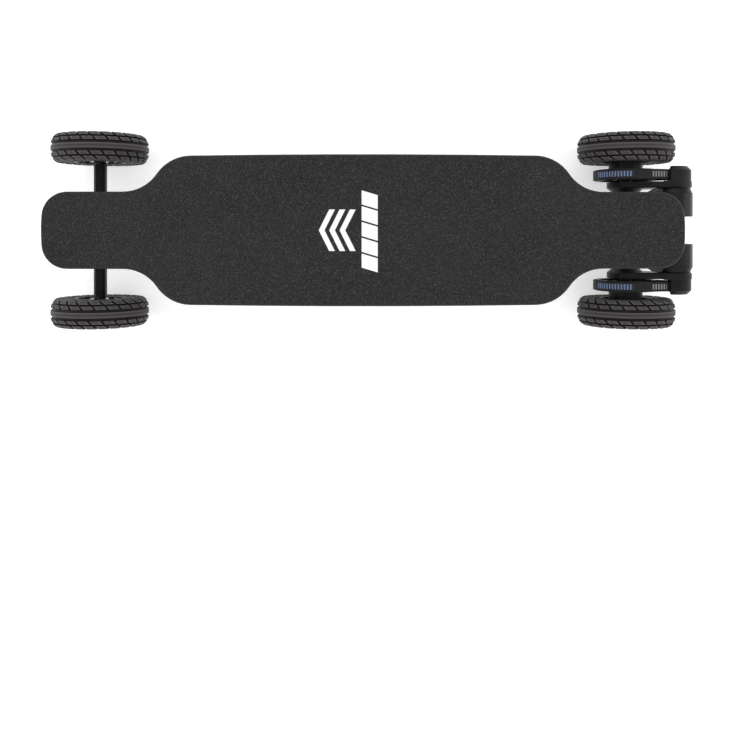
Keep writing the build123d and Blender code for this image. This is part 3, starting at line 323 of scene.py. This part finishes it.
gloss = Finish("hatch_gloss", (0.003, 0.003, 0.003), 0.16, {"Specular IOR Level": 0.35})
hatch_x, hatch_y, _ = gloss.axes((hatch_low + hatch_high) / 2)
out_x = abs(hatch_x) - border_x
out_y = abs(hatch_y) - border_y
border = abs(out_x.at_least(out_y)) < border_line / 2
in_rows = (hatch_x > rows_front) * (hatch_x < rows_rear) * (abs(hatch_y) < rows_reach)
bars = in_rows * ((hatch_x - rows_front) % row_pitch < row_bar)
bars = bars * (gloss.noise(260, 1, (0.001, 1, 0.001)) > 0.42)
in_squares = (hatch_x > squares_front) * (hatch_x < squares_rear) * (abs(hatch_y) < squares_reach)
square_x = abs((hatch_x - squares_front) % square_pitch - square_pitch / 2)
square_y = abs((hatch_y + squares_reach) % square_pitch - square_pitch / 2)
square = square_x.at_least(square_y)
squares = in_squares * (square < square_side / 2) * (square > square_side / 2 - square_line)
silk_screen = border + bars + squares
smear = gloss.noise(30, 4)
gloss.drive("Base Color", gloss.mix(silk_screen * 0.7, (0.002, 0.002, 0.0022), (0.3, 0.3, 0.3)))
gloss.drive("Roughness", gloss.spread(smear, 0.35, 0.7, 0.1, 0.24) + silk_screen * 0.2)
gloss.relief(silk_screen, 0.00003, 1.0, gloss.rounded(0.0004))
dress(gloss, "controller_hatch")

# ------------------------------------------------------------------ switch, charge socket and grommets
# A turned stainless switch with a domed cap, a plated charge socket beside it,
# and two rubber sleeves where the motor leads come out of the tub.
turned = Finish("turned_stainless", (0.6, 0.6, 0.61), 0.26, {"Metallic": 1.0})
lathe_marks = turned.noise(3000, 2, (1, 0.05, 1))
turned.drive("Base Color", turned.mix(turned.edges(0.0005), (0.5, 0.5, 0.51), (0.8, 0.8, 0.8)))
turned.drive("Roughness", turned.spread(lathe_marks, 0.3, 0.7, 0.2, 0.36))
turned.relief(lathe_marks, 0.00003, 0.6, turned.rounded(0.0004))
dress(turned, "button_bezel", "power_button", "charge_port")

soft_rubber = Finish("soft_rubber", (0.02, 0.02, 0.02), 0.62)
rubber_bloom = soft_rubber.noise(120, 4)
soft_rubber.drive("Base Color", soft_rubber.mix(rubber_bloom, (0.012, 0.012, 0.012), (0.035, 0.034, 0.034)))
soft_rubber.relief(soft_rubber.noise(900, 2), 0.00006, 0.7, soft_rubber.rounded(0.0006))
dress(soft_rubber, "cable_grommets")

# ------------------------------------------------------------------ screws
# Socket screws in blackened steel hold the tub, the trucks and the drive, and
# small zinc plated ones the strips and the hatch.
blackened = Finish("blackened_screws", (0.03, 0.03, 0.031), 0.36, {"Metallic": 0.7})
oil = blackened.noise(220, 3)
worn_black = blackened.mix(blackened.edges(0.0005) * 0.7, (0.028, 0.028, 0.03), (0.22, 0.22, 0.23))
blackened.drive("Base Color", worn_black)
blackened.drive("Roughness", blackened.spread(oil, 0.3, 0.7, 0.28, 0.5))
blackened.relief(oil, 0.00004, 0.6, blackened.rounded(0.0003))
hub_bolts = [f"{end}_{side}_hub_bolts" for end in ("front", "rear") for side in ("left", "right")]
dress(blackened, "enclosure_screws", "truck_screws", "drive_screws", *hub_bolts)

zinc = Finish("zinc_screws", (0.42, 0.42, 0.44), 0.34, {"Metallic": 1.0})
plating = zinc.noise(300, 3)
zinc.drive("Base Color", zinc.mix(zinc.edges(0.0004), (0.3, 0.3, 0.32), (0.66, 0.66, 0.68)))
zinc.drive("Roughness", zinc.spread(plating, 0.3, 0.7, 0.26, 0.45))
zinc.relief(plating, 0.00003, 0.6, zinc.rounded(0.0003))
dress(zinc, "trim_screws")

# ------------------------------------------------------------------ baseplates
# Gravity-cast aluminium, tumbled and painted black. The paint is thin on the
# boss and on the cast ribs, where grey metal shows through.
cast = Finish("painted_casting", (0.015, 0.015, 0.016), 0.5, {"Specular IOR Level": 0.3})
cast_skin = cast.noise(420, 5)
bare_spots = cast.spread(cast.noise(55, 5), 0.52, 0.66)
bare = cast.edges(0.0012) * 0.6 + bare_spots * 0.35
cast.drive("Base Color", cast.mix(bare, (0.012, 0.012, 0.013), (0.16, 0.16, 0.165)))
cast.drive("Roughness", cast.spread(cast_skin, 0.3, 0.7, 0.4, 0.62))
cast.drive("Metallic", bare * 0.8)
cast.relief(cast_skin, 0.00025, 0.7, cast.rounded(0.001))
dress(cast, "front_baseplate", "rear_baseplate")

# ------------------------------------------------------------------ kingpins, axles and their nuts
# The axles and the wheels' outer washers and nuts are bright zinc plated, and
# their inner spacers black. Kingpins, washers and nuts are a dull dark bronze.
spacer_start = 0.02
spacer_end = 0.1093

plated = Finish("plated_steel", (0.52, 0.51, 0.49), 0.28, {"Metallic": 1.0})
handling = plated.noise(90, 4)
plated_tone = plated.mix(plated.spread(handling, 0.3, 0.7), (0.4, 0.39, 0.37), (0.62, 0.61, 0.59))
plated_tone = plated.mix(plated.edges(0.0006) * 0.6, plated_tone, (0.85, 0.85, 0.84))
out_from_middle = abs(plated.axes(deck_middle)[1])
spacer = (out_from_middle > spacer_start) * (out_from_middle < spacer_end)
plated.drive("Base Color", plated.mix(spacer, plated_tone, (0.02, 0.02, 0.021)))
plated.drive("Roughness", plated.spread(handling, 0.3, 0.7, 0.2, 0.42))
plated.relief(plated.noise(1500, 2), 0.00003, 0.6, plated.rounded(0.0004))
dress(plated, "front_axle", "rear_axle", "front_axle_hardware", "rear_axle_hardware")

kingpin_steel = Finish("kingpin_steel", (0.16, 0.145, 0.12), 0.36, {"Metallic": 1.0})
bronzing = kingpin_steel.noise(130, 4)
bronze_share = kingpin_steel.spread(bronzing, 0.3, 0.7)
bronze_tone = kingpin_steel.mix(bronze_share, (0.07, 0.062, 0.055), (0.22, 0.19, 0.15))
bronze_tone = kingpin_steel.mix(kingpin_steel.edges(0.0006) * 0.6, bronze_tone, (0.42, 0.38, 0.33))
kingpin_steel.drive("Base Color", bronze_tone)
kingpin_steel.drive("Roughness", kingpin_steel.spread(bronzing, 0.3, 0.7, 0.28, 0.46))
kingpin_steel.relief(kingpin_steel.noise(1500, 2), 0.00003, 0.6, kingpin_steel.rounded(0.0004))
dress(kingpin_steel, "kingpin_sets")

# ------------------------------------------------------------------ bushings and pivot cups
# Poured black urethane, slightly cloudy: on each kingpin a barrel on the deck's
# side of the hanger's ring and a cone on the road's side, and a cup for the pivot.
bushing_height = 0.013
ring_half = 0.005
kingpin_bore = 0.0054
bushing_barrel = [(0.0118, 0.0), (0.0132, 0.0012), (0.0137, 0.0038), (0.0138, 0.0065),
                  (0.0137, 0.0092), (0.0132, 0.0118), (0.0118, 0.013)]
bushing_cone = [(0.0122, 0.0), (0.0132, 0.0012), (0.0133, 0.003), (0.0129, 0.0065),
                (0.0123, 0.0095), (0.0117, 0.0118), (0.0103, 0.013)]
ring_out = 0.012
ring_rise = 0.032
steering_angle = math.radians(38)

urethane = Finish("poured_urethane", (0.05, 0.05, 0.05), 0.32, {"Coat Weight": 0.2})
cloud = urethane.noise(160, 4)
urethane.drive("Base Color", urethane.mix(cloud, (0.03, 0.03, 0.03), (0.075, 0.073, 0.07)))
urethane.drive("Roughness", urethane.spread(cloud, 0.3, 0.7, 0.28, 0.45))
urethane.relief(urethane.noise(1100, 2), 0.00004, 0.6)
dress(urethane, "pivot_cups")


def finish_piece(shape, name, finish):
    """Makes an object of a finished bmesh, smooth but for its sharp edges."""
    bmesh.ops.recalc_face_normals(shape, faces=shape.faces)
    if shape.calc_volume(signed=True) < 0:
        bmesh.ops.reverse_faces(shape, faces=shape.faces)
    data = bpy.data.meshes.new(name)
    shape.to_mesh(data)
    shape.free()
    data.materials.append(finish.material)
    data.shade_smooth()
    data.set_sharp_from_angle(angle=math.radians(38))
    piece = bpy.data.objects.new(name, data)
    scene.collection.objects.link(piece)
    return piece


def turn_bushing(shape, profile, towards):
    """Spins a half section, bored for the kingpin, that stands on one face of the ring."""
    section = [(kingpin_bore, 0.0), *profile, (kingpin_bore, bushing_height)]
    corners = [shape.verts.new((radius, 0, towards * (ring_half + rise))) for radius, rise in section]
    lines = [shape.edges.new(pair) for pair in zip(corners, corners[1:] + corners[:1])]
    bmesh.ops.spin(shape, geom=corners + lines, cent=(0, 0, 0), axis=(0, 0, 1), dvec=(0, 0, 0),
                   angle=2 * math.pi, steps=48, use_merge=True)


for end, turn in (("front", math.pi), ("rear", 0.0)):
    axle_low, axle_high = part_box(end + "_axle")
    at_axle = Matrix.Translation((axle_low + axle_high) / 2) @ Matrix.Rotation(turn, 4, "Z")
    down_kingpin = Matrix.Rotation(math.pi - steering_angle, 4, "Y")
    kingpin = at_axle @ Matrix.Translation((ring_out, 0, ring_rise)) @ down_kingpin
    shape = bmesh.new()
    turn_bushing(shape, bushing_barrel, -1)
    turn_bushing(shape, bushing_cone, 1)
    bmesh.ops.remove_doubles(shape, verts=shape.verts, dist=0.00001)
    bmesh.ops.transform(shape, matrix=kingpin, verts=shape.verts)
    pair = finish_piece(shape, end + "_bushing_pair", urethane)
    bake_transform(pair)
    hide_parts(end + "_bushings")

# ------------------------------------------------------------------ hangers
# Forged hangers in black powder coat, with the faint orange peel that it bakes
# to: a square bar with broken corners at the nose, and a round one at the tail.
powder = Finish("powder_coat", (0.012, 0.012, 0.013), 0.4, {"Specular IOR Level": 0.1})
peel = powder.noise(700, 2)
dust = powder.spread(powder.noise(38, 5), 0.45, 0.75)
powder_tone = powder.mix(dust * 0.35, (0.007, 0.007, 0.008), (0.018, 0.0175, 0.017))
powder.drive("Base Color", powder.mix(powder.edges(0.001) * 0.3, powder_tone, (0.03, 0.03, 0.03)))
powder.drive("Roughness", powder.spread(peel, 0.3, 0.7, 0.33, 0.46))
powder.relief(peel, 0.00012, 0.5, powder.rounded(0.0008))
dress(powder, "front_hanger", "rear_hanger")

# ------------------------------------------------------------------ tyres
# Airless tyres moulded in black rubber, 150 mm across: a plain middle rib, two
# rows of slanted blocks each side of it, and a ring of holes through the walls.
tread_sectors = 24
tread_steps = 5
wall_sectors = 24
wall_steps = 5
rib_edge = 0.0046
row_start = 0.0076
row_split = 0.0155
tread_edge = 0.0225
section_half = 0.024
rib_section = [(0.0, 0.0750), (0.0025, 0.07495), (0.0042, 0.0748), (0.0046, 0.0743), (0.0048, 0.0726)]
floor_section = [(0.0076, 0.0724), (0.0102, 0.0719), (0.0128, 0.0712), (0.0155, 0.0702), (0.0180, 0.0688),
                 (0.0204, 0.0668), (0.0225, 0.0640)]
wall_section = [(0.0225, 0.0640), (0.0235, 0.0615), (0.0238, 0.0585), (0.0238, 0.0555), (0.0235, 0.0525),
                (0.0228, 0.0510), (0.0227, 0.0495), (0.0221, 0.0470), (0.0214, 0.0440), (0.0208, 0.0425),
                (0.0206, 0.0412), (0.0195, 0.0403), (0.0, 0.0403)]
block_height = 0.0023
block_rings = ((0.0009, 0.0), (0.0004, block_height), (0.0004, 0.0003))
slant_at_split = math.radians(8.0)
slant_at_edge = 2 * math.pi / wall_sectors
hole_radius = 0.0036
hole_circle = 0.0570
hole_lip = 0.0006
hole_bevel = 0.0004
wall_half = 0.0238

rubber = Finish("tyre_rubber", (0.025, 0.023, 0.023), 0.62, {"Specular IOR Level": 0.22})
# Lighter along the convex edges of the raised blocks and rib: a painted highlight.
painted_edge_highlight = rubber.spread(rubber.node("ShaderNodeNewGeometry", output="Pointiness"), 0.5, 0.56)
scuffs = rubber.noise(70, 5)
scuff_tone_and_groove_shade = rubber.mix(rubber.spread(scuffs, 0.3, 0.75), (0.010, 0.0086, 0.009), (0.022, 0.0188, 0.0197))
raised = rubber.node("ShaderNodeAttribute", {"attribute_name": "height"}, (), "Fac")
# Near black where the height attribute is low, in the grooves between the blocks: painted shade.
scuff_tone_and_groove_shade = rubber.mix(rubber.spread(raised, 0.05, 0.6, 0.0, 1.0), (0.003, 0.003, 0.003), scuff_tone_and_groove_shade)
rubber.drive("Base Color", rubber.mix(painted_edge_highlight * raised * 0.8, scuff_tone_and_groove_shade, (0.14, 0.122, 0.125)))
rubber.drive("Roughness", rubber.spread(scuffs, 0.3, 0.7, 0.5, 0.72))
rubber.relief(rubber.noise(900, 3) + scuffs, 0.0002, 0.6)


def section_line(shape, section):
    """A chain of vertices above the axle, from (width, radius) pairs."""
    corners = [shape.verts.new((0, width, radius)) for width, radius in section]
    for pair in zip(corners, corners[1:]):
        shape.edges.new(pair)


def spin_all(shape, turn, steps, copies=False):
    """Spins everything round the Y axis, as a skin or as copies."""
    everything = shape.verts[:] + shape.edges[:] + shape.faces[:]
    bmesh.ops.spin(shape, geom=everything, cent=(0, 0, 0), axis=(0, 1, 0), dvec=(0, 0, 0),
                   angle=turn, steps=steps, use_duplicate=copies)


def slant(width):
    """How far round the tread has been swept at this distance from the middle."""
    reach = abs(width)
    if reach < rib_edge:
        return 0.0
    if reach < row_split:
        share = slant_at_split * (reach - rib_edge) / (row_split - rib_edge)
    else:
        share = (reach - row_split) / (tread_edge - row_split)
        share = slant_at_split + (slant_at_edge - slant_at_split) * share
    return math.copysign(share, -width)


def tread_band():
    """One sector of the tread with its four blocks, copied round the tyre."""
    half = rib_section + floor_section
    shape = bmesh.new()
    height_key = shape.verts.layers.float.new("height")
    section_line(shape, [(-width, radius) for width, radius in reversed(half[1:])] + half)
    for v in shape.verts:
        v[height_key] = float(abs(v.co.y) < rib_edge)
    sector = 2 * math.pi / tread_sectors
    spin_all(shape, sector, tread_steps)
    for v in shape.verts:
        v.co = Matrix.Rotation(slant(v.co.y), 3, "Y") @ v.co
    rows = [(-tread_edge, -row_split), (-row_split, -row_start)]
    rows += [(-end, -start) for start, end in rows]
    blocks = []
    for start, end in rows:
        blocks.append([f for f in shape.faces if start < f.calc_center_median().y < end])
    bmesh.ops.recalc_face_normals(shape, faces=shape.faces)
    if shape.faces[0].normal.z < 0:
        bmesh.ops.reverse_faces(shape, faces=shape.faces)
    for block in blocks:
        for thickness, depth in block_rings:
            bmesh.ops.inset_region(shape, faces=block, thickness=thickness, depth=depth,
                                   use_boundary=True, use_even_offset=True)
        for v in {v for face in block for v in face.verts}:
            v[height_key] = 1.0
    spin_all(shape, sector * (tread_sectors - 1), tread_sectors - 1, copies=True)
    bmesh.ops.remove_doubles(shape, verts=shape.verts, dist=0.00002)
    return shape


def wall_and_bead():
    """One wall with its ring of holes, which run in to the middle of the tyre."""
    shape = bmesh.new()
    height_key = shape.verts.layers.float.new("height")
    section_line(shape, wall_section)
    for v in shape.verts:
        v[height_key] = 0.5
    sector = 2 * math.pi / wall_sectors
    spin_all(shape, sector, wall_steps)
    middle_angle = sector / 2
    middle = Matrix.Rotation(middle_angle, 3, "Y") @ Vector((0, wall_half, hole_circle))
    reach = 1.6 * hole_radius
    plug = [f for f in shape.faces if (f.calc_center_median() - middle).length < reach and f.normal.y != 0]
    bmesh.ops.delete(shape, geom=plug, context="FACES")
    rim = [e for e in shape.edges if e.is_boundary
           and all((v.co - middle).length < 2 * hole_radius for v in e.verts)]
    around = {v for e in rim for v in e.verts}
    for v in around:
        spoke = v.co - middle
        spoke.y = 0
        v.co = Vector((middle.x, v.co.y, middle.z)) + spoke.normalized() * hole_radius
    for inward in (hole_lip, wall_half):
        walls = bmesh.ops.extrude_edge_only(shape, edges=rim)
        rim = [e for e in walls["geom"] if isinstance(e, bmesh.types.BMEdge) and e.is_boundary
               and all(v not in around for v in e.verts)]
        fresh = {v for e in rim for v in e.verts}
        for v in fresh:
            v.co.y = max(0.0, v.co.y - inward)
            if inward == hole_lip:
                spoke = Vector((v.co.x - middle.x, 0, v.co.z - middle.z))
                v.co -= spoke.normalized() * hole_bevel
        around = fresh
    spin_all(shape, sector * (wall_sectors - 1), wall_sectors - 1, copies=True)
    turn_to_meet = Matrix.Rotation(slant(tread_edge), 4, "Y")
    bmesh.ops.transform(shape, matrix=turn_to_meet, verts=shape.verts)
    return shape


tread = tread_band()
wall = wall_and_bead()
tread_data = bpy.data.meshes.new("tread_band")
wall_data = bpy.data.meshes.new("wall_and_bead")
tread.to_mesh(tread_data)
wall.to_mesh(wall_data)
tread.free()
wall.free()

for end in ("front", "rear"):
    for side in ("left", "right"):
        wheel = f"{end}_{side}"
        tyre_low, tyre_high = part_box(wheel + "_tyre")
        shape = bmesh.new()
        shape.from_mesh(wall_data)
        bmesh.ops.transform(shape, matrix=Matrix.Rotation(math.pi, 4, "Z"), verts=shape.verts)
        shape.from_mesh(wall_data)
        shape.from_mesh(tread_data)
        bmesh.ops.remove_doubles(shape, verts=shape.verts, dist=0.00003)
        widen = (tyre_high.y - tyre_low.y) / (2 * section_half)
        bmesh.ops.scale(shape, verts=shape.verts, vec=(1, widen, 1))
        bmesh.ops.translate(shape, verts=shape.verts, vec=(tyre_low + tyre_high) / 2)
        tyre = finish_piece(shape, wheel + "_airless_tyre", rubber)
        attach(tyre, wheel + "_wheel")
        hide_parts(wheel + "_tyre")

# ------------------------------------------------------------------ hubs and bearings
# Hubs are moulded in glass-filled nylon, dark grey and a little streaky where it
# flowed, and turn on two shielded ball bearings each.
nylon = Finish("filled_nylon", (0.03, 0.03, 0.031), 0.5, {"Specular IOR Level": 0.35})
flow = nylon.noise(75, 5, (1, 0.3, 1))
nylon_tone = nylon.mix(flow, (0.02, 0.02, 0.021), (0.042, 0.042, 0.043))
nylon.drive("Base Color", nylon.mix(nylon.edges(0.0008) * 0.35, nylon_tone, (0.16, 0.16, 0.165)))
nylon.drive("Roughness", nylon.spread(flow, 0.3, 0.7, 0.42, 0.58))
nylon.relief(nylon.noise(800, 2), 0.00008, 0.5, nylon.rounded(0.0006))

race = Finish("bearing_steel", (0.5, 0.5, 0.52), 0.22, {"Metallic": 1.0})
race_marks = race.noise(1800, 2)
race.drive("Base Color", race.mix(race.edges(0.0005), (0.42, 0.42, 0.44), (0.78, 0.78, 0.8)))
race.drive("Roughness", race.spread(race_marks, 0.3, 0.7, 0.16, 0.34))
race.relief(race_marks, 0.00003, 0.5, race.rounded(0.0003))
for end in ("front", "rear"):
    for side in ("left", "right"):
        dress(nylon, f"{end}_{side}_hub")
        dress(race, f"{end}_{side}_bearings")

# ------------------------------------------------------------------ motor mounts and pulleys
# Machined aluminium, black anodised: plates with a flared clamp on the hanger,
# and toothed pulleys on the wheels and on the motors' shafts.
anodised = Finish("black_anodised", (0.008, 0.008, 0.009), 0.36, {"Specular IOR Level": 0.14})
machining = anodised.noise(1600, 2, (1, 0.04, 1))
cloudy = anodised.spread(anodised.noise(45, 4), 0.3, 0.7)
anodised_tone = anodised.mix(cloudy, (0.006, 0.006, 0.007), (0.013, 0.013, 0.0145))
anodised.drive("Base Color", anodised.mix(anodised.edges(0.0007) * 0.5, anodised_tone, (0.13, 0.13, 0.135)))
anodised.drive("Roughness", anodised.spread(machining, 0.3, 0.7, 0.28, 0.44))
anodised.relief(machining, 0.00004, 0.6, anodised.rounded(0.0005))

# ------------------------------------------------------------------ motors and belt guards
# The cans are steel in gloss black enamel, on a machined black base, and a
# guard of moulded plastic caps each motor pulley.
enamel = Finish("motor_enamel", (0.006, 0.006, 0.0065), 0.26, {"Specular IOR Level": 0.2, "Coat Weight": 0.05})
enamel_dust = enamel.spread(enamel.noise(60, 5), 0.45, 0.8)
enamel.drive("Base Color", enamel.mix(enamel_dust * 0.3, (0.005, 0.005, 0.0055), (0.015, 0.0145, 0.014)))
enamel.drive("Roughness", enamel.spread(enamel_dust, 0.0, 1.0, 0.17, 0.34))
enamel.relief(enamel.noise(500, 2), 0.00005, 0.4, enamel.rounded(0.0006))

guard_plastic = Finish("guard_plastic", (0.008, 0.008, 0.0085), 0.42, {"Specular IOR Level": 0.14})
stipple = guard_plastic.noise(1100, 2)
guard_haze = guard_plastic.spread(guard_plastic.noise(30, 4), 0.3, 0.7)
guard_tone = guard_plastic.mix(guard_haze, (0.006, 0.006, 0.0065), (0.013, 0.013, 0.0135))
guard_tone = guard_plastic.mix(guard_plastic.edges(0.0009) * 0.3, guard_tone, (0.06, 0.06, 0.06))
guard_plastic.drive("Base Color", guard_tone)
guard_plastic.drive("Roughness", guard_plastic.spread(stipple, 0.3, 0.7, 0.34, 0.5))
guard_plastic.relief(stipple, 0.0001, 0.5, guard_plastic.rounded(0.0008))

for side in ("left", "right"):
    dress(anodised, side + "_motor_mount", side + "_wheel_pulley", side + "_motor_pulley")
    dress(anodised, side + "_motor_stator")
    dress(enamel, side + "_motor_can")
    dress(guard_plastic, side + "_belt_guard")

# ------------------------------------------------------------------ drive belts
# Moulded toothed belts of 5 mm pitch and 15 mm width, black rubber on cord, with
# a printed row of plain pale blue bars along the back.
belt_gap = 0.00035
belt_thickness = 0.0024
back_thickness = 0.0012
belt_pitch = 0.005
tooth_length = 0.0027
tooth_height = 0.0013
tooth_root = 0.00013
tooth_rounding = 0.0004
bar_pitch = 0.0046
bar_line = 0.00253
bar_reach = 0.0042
wheel_print = (0.108, 0.168)
motor_print = (0.052, 0.078)

belt_rubber = Finish("belt_rubber", (0.012, 0.012, 0.013), 0.58, {"Specular IOR Level": 0.2})
distance = belt_rubber.node("ShaderNodeAttribute", {"attribute_name": "run"}, (), "Fac")
across_belt = belt_rubber.node("ShaderNodeAttribute", {"attribute_name": "across"}, (), "Fac")
bar_step = distance % bar_pitch
bar_row = (abs(across_belt) < bar_reach) * (bar_step < bar_line)
by_wheel = (distance > wheel_print[0]) * (distance < wheel_print[1])
by_motor = (distance > motor_print[0]) * (distance < motor_print[1])
bar_row = bar_row * (by_wheel + by_motor)
ink_tone = belt_rubber.mix(by_wheel, (0.3, 0.3, 0.3), (0.22, 0.3, 0.5))
weave = belt_rubber.noise(1300, 2)
belt_tone = belt_rubber.mix(weave, (0.008, 0.008, 0.009), (0.018, 0.018, 0.019))
belt_rubber.drive("Base Color", belt_rubber.mix(bar_row * 0.7, belt_tone, ink_tone))
belt_rubber.drive("Roughness", belt_rubber.spread(weave, 0.3, 0.7, 0.5, 0.66))
belt_rubber.relief(weave, 0.00008, 0.6)


def disc_of(node):
    """The middle and the radius of a round CAD node that lies across the board."""
    low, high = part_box(node)
    return (low + high) / 2, (high.z - low.z) / 2


def arc(shape, start, centre, turn, steps):
    """Vertices of an arc in the XZ plane, from a start point and turning from +X to +Z."""
    first = shape.verts.new(start)
    bmesh.ops.spin(shape, geom=[first], cent=centre, axis=(0, -1, 0), dvec=(0, 0, 0), angle=turn, steps=steps)


def toothed_belt(wheel_centre, wheel_radius, motor_centre, motor_radius, start_y, width):
    """A band round both pulleys, with its teeth on the two free runs."""
    shape = bmesh.new()
    run_key = shape.verts.layers.float.new("run")
    across_key = shape.verts.layers.float.new("across")
    line = motor_centre - wheel_centre
    line.y = 0
    heading = math.atan2(line.z, line.x)
    swing = math.acos((wheel_radius - motor_radius) / line.length)

    def rim(centre, radius, angle):
        return Vector((centre.x + radius * math.cos(angle), start_y, centre.z + radius * math.sin(angle)))

    arc(shape, rim(motor_centre, motor_radius, heading - swing), motor_centre, 2 * swing, 18)
    corner = len(shape.verts)
    arc(shape, rim(wheel_centre, wheel_radius, heading + swing), wheel_centre, 2 * math.pi - 2 * swing, 60)
    shape.verts.ensure_lookup_table()
    shape.edges.new((shape.verts[corner - 1], shape.verts[corner]))
    shape.edges.new((shape.verts[-1], shape.verts[0]))
    reached = 0.0
    for before, after in zip(shape.verts[:], shape.verts[1:]):
        reached += (after.co - before.co).length
        after[run_key] = reached
    for v in shape.verts:
        v[across_key] = -width / 2
    band = bmesh.ops.extrude_edge_only(shape, edges=shape.edges)
    far = [v for v in band["geom"] if isinstance(v, bmesh.types.BMVert)]
    bmesh.ops.translate(shape, verts=far, vec=(0, width, 0))
    for v in far:
        v[across_key] = width / 2
    bmesh.ops.recalc_face_normals(shape, faces=shape.faces)
    bmesh.ops.solidify(shape, geom=shape.faces, thickness=back_thickness)

    run_length = math.sqrt(line.length ** 2 - (wheel_radius - motor_radius) ** 2)
    root = back_thickness + tooth_height / 2
    for sign in (-1, 1):
        out = heading + sign * swing
        start = rim(wheel_centre, wheel_radius - root, out)
        end_point = rim(motor_centre, motor_radius - root, out)
        for index in range(int(run_length / belt_pitch)):
            middle = start.lerp(end_point, (index + 0.5) * belt_pitch / run_length)
            middle.y = start_y + width / 2
            stand = Matrix.Translation(middle) @ Matrix.Rotation(math.pi / 2 - out, 4, "Y")
            size = Matrix.Diagonal((tooth_length, width, tooth_height + tooth_root, 1))
            tooth = bmesh.ops.create_cube(shape, size=1, matrix=stand @ size)
            for v in tooth["verts"]:
                v[across_key] = width
            rims = [e for e in {e for v in tooth["verts"] for e in v.link_edges}
                    if abs(e.verts[0].co.y - e.verts[1].co.y) > width / 2]
            bmesh.ops.bevel(shape, geom=rims, offset=tooth_rounding, offset_type="OFFSET", segments=2,
                            profile=0.5, affect="EDGES", material=-1)
    return shape


for side in ("left", "right"):
    wheel_centre, wheel_radius = disc_of(side + "_wheel_pulley")
    motor_centre, motor_radius = disc_of(side + "_motor_pulley")
    belt_low, belt_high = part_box(side + "_drive_belt")
    grown = belt_gap + belt_thickness
    shape = toothed_belt(wheel_centre, wheel_radius + grown, motor_centre, motor_radius + grown,
                         belt_low.y, belt_high.y - belt_low.y)
    belt = finish_piece(shape, side + "_toothed_belt", belt_rubber)
    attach(belt, "rear_hanger")
    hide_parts(side + "_drive_belt")

# ------------------------------------------------------------------ motor leads
# Each motor's three wires run in one rubber sheath, from the grommet past the
# truck's baseplate to the motor's base.
lead_radius = 0.004
lead_route = [(0.324, 0.0095, 0.130), (0.348, 0.0095, 0.130), (0.364, 0.024, 0.132),
              (0.382, 0.038, 0.135), (0.417, 0.043, 0.135), (0.439, 0.056, 0.129),
              (0.45087, 0.0616, 0.11815), (0.46299, 0.0616, 0.11115)]

lines = bpy.data.curves.new("lead_lines", "CURVE")
lines.dimensions = "3D"
lines.bevel_depth = lead_radius
lines.bevel_resolution = 6
lines.resolution_u = 10
lines.use_fill_caps = True
for side in (-1, 1):
    lead = lines.splines.new("NURBS")
    lead.points.add(len(lead_route) - 1)
    for point, (x, y, z) in zip(lead.points, lead_route):
        point.co = (deck_middle.x + x, side * y, z, 1)
    lead.order_u = 3
    lead.use_endpoint_u = True
line_holder = bpy.data.objects.new("lead_lines", lines)
scene.collection.objects.link(line_holder)
lead_mesh = bpy.data.meshes.new_from_object(line_holder.evaluated_get(bpy.context.evaluated_depsgraph_get()))
bpy.data.objects.remove(line_holder)
shape = bmesh.new()
shape.from_mesh(lead_mesh)
bmesh.ops.remove_doubles(shape, verts=shape.verts, dist=0.00001)
leads = finish_piece(shape, "sheathed_leads", soft_rubber)
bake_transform(leads)
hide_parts("motor_leads")

# ------------------------------------------------------------------ floor, light and camera
# A pale floor that shows its upper face only, so that the underside can be seen
# through it, soft boxes all round, and a camera straight above the board.
floor_drop = 0.0006
floor_half = 40.0
eye_above_grip = 1.232

floor_glow = {"Specular IOR Level": 0.1, "Emission Color": (1, 1, 1, 1), "Emission Strength": 0.4}
floor_paint = Finish("floor_paint", (0.9, 0.9, 0.9), 0.9, floor_glow)
behind = floor_paint.node("ShaderNodeNewGeometry", output="Backfacing")
clear = floor_paint.node("ShaderNodeBsdfTransparent")
painted = Field(floor_paint, floor_paint.shader.outputs[0])
either = floor_paint.node("ShaderNodeMixShader", None, [behind, painted, clear])
floor_paint.tree.links.new(either.socket, floor_paint.tree.nodes["Material Output"].inputs["Surface"])

shape = bmesh.new()
bmesh.ops.create_grid(shape, x_segments=1, y_segments=1, size=floor_half)
bmesh.ops.translate(shape, verts=shape.verts, vec=(0, 0, cad_box[0].z - floor_drop))
floor_data = bpy.data.meshes.new("floor")
shape.to_mesh(floor_data)
shape.free()
floor_data.materials.append(floor_paint.material)
floor = bpy.data.objects.new("floor", floor_data)
scene.collection.objects.link(floor)

sky = bpy.data.worlds.new("sky")
sky.use_nodes = True
sky.node_tree.nodes["Background"].inputs["Color"].default_value = (1, 1, 1, 1)
sky.node_tree.nodes["Background"].inputs["Strength"].default_value = 1.0
scene.world = sky
scene.view_settings.view_transform = "Standard"

soft_boxes = [
    ("box_far", (-0.3, 1.7, 1.5), (2.6, 0.9), 9),
    ("box_near", (0.5, -1.8, 1.1), (2.6, 0.8), 6),
    ("box_nose", (-2.0, -0.2, 1.3), (0.9, 1.4), 5),
    ("box_tail", (2.0, 0.4, 0.9), (0.9, 1.4), 4),
    ("box_under", (0.2, -0.9, -1.5), (1.8, 1.0), 9),
]
for name, spot, (width, height), watts in soft_boxes:
    lamp = bpy.data.lights.new(name, "AREA")
    lamp.shape = "RECTANGLE"
    lamp.size = width
    lamp.size_y = height
    lamp.energy = watts
    stand = bpy.data.objects.new(name, lamp)
    stand.location = spot
    stand.rotation_euler = (deck_middle - Vector(spot)).to_track_quat("-Z", "Y").to_euler()
    scene.collection.objects.link(stand)

lens = bpy.data.cameras.new("camera")
lens.lens = 39.6
lens.sensor_width = 36.0
lens.shift_x = 0.016
lens.shift_y = -0.193
camera = bpy.data.objects.new("camera", lens)
camera.location = (deck_middle.x, deck_middle.y, cad_box[1].z + eye_above_grip)
scene.collection.objects.link(camera)
scene.camera = camera
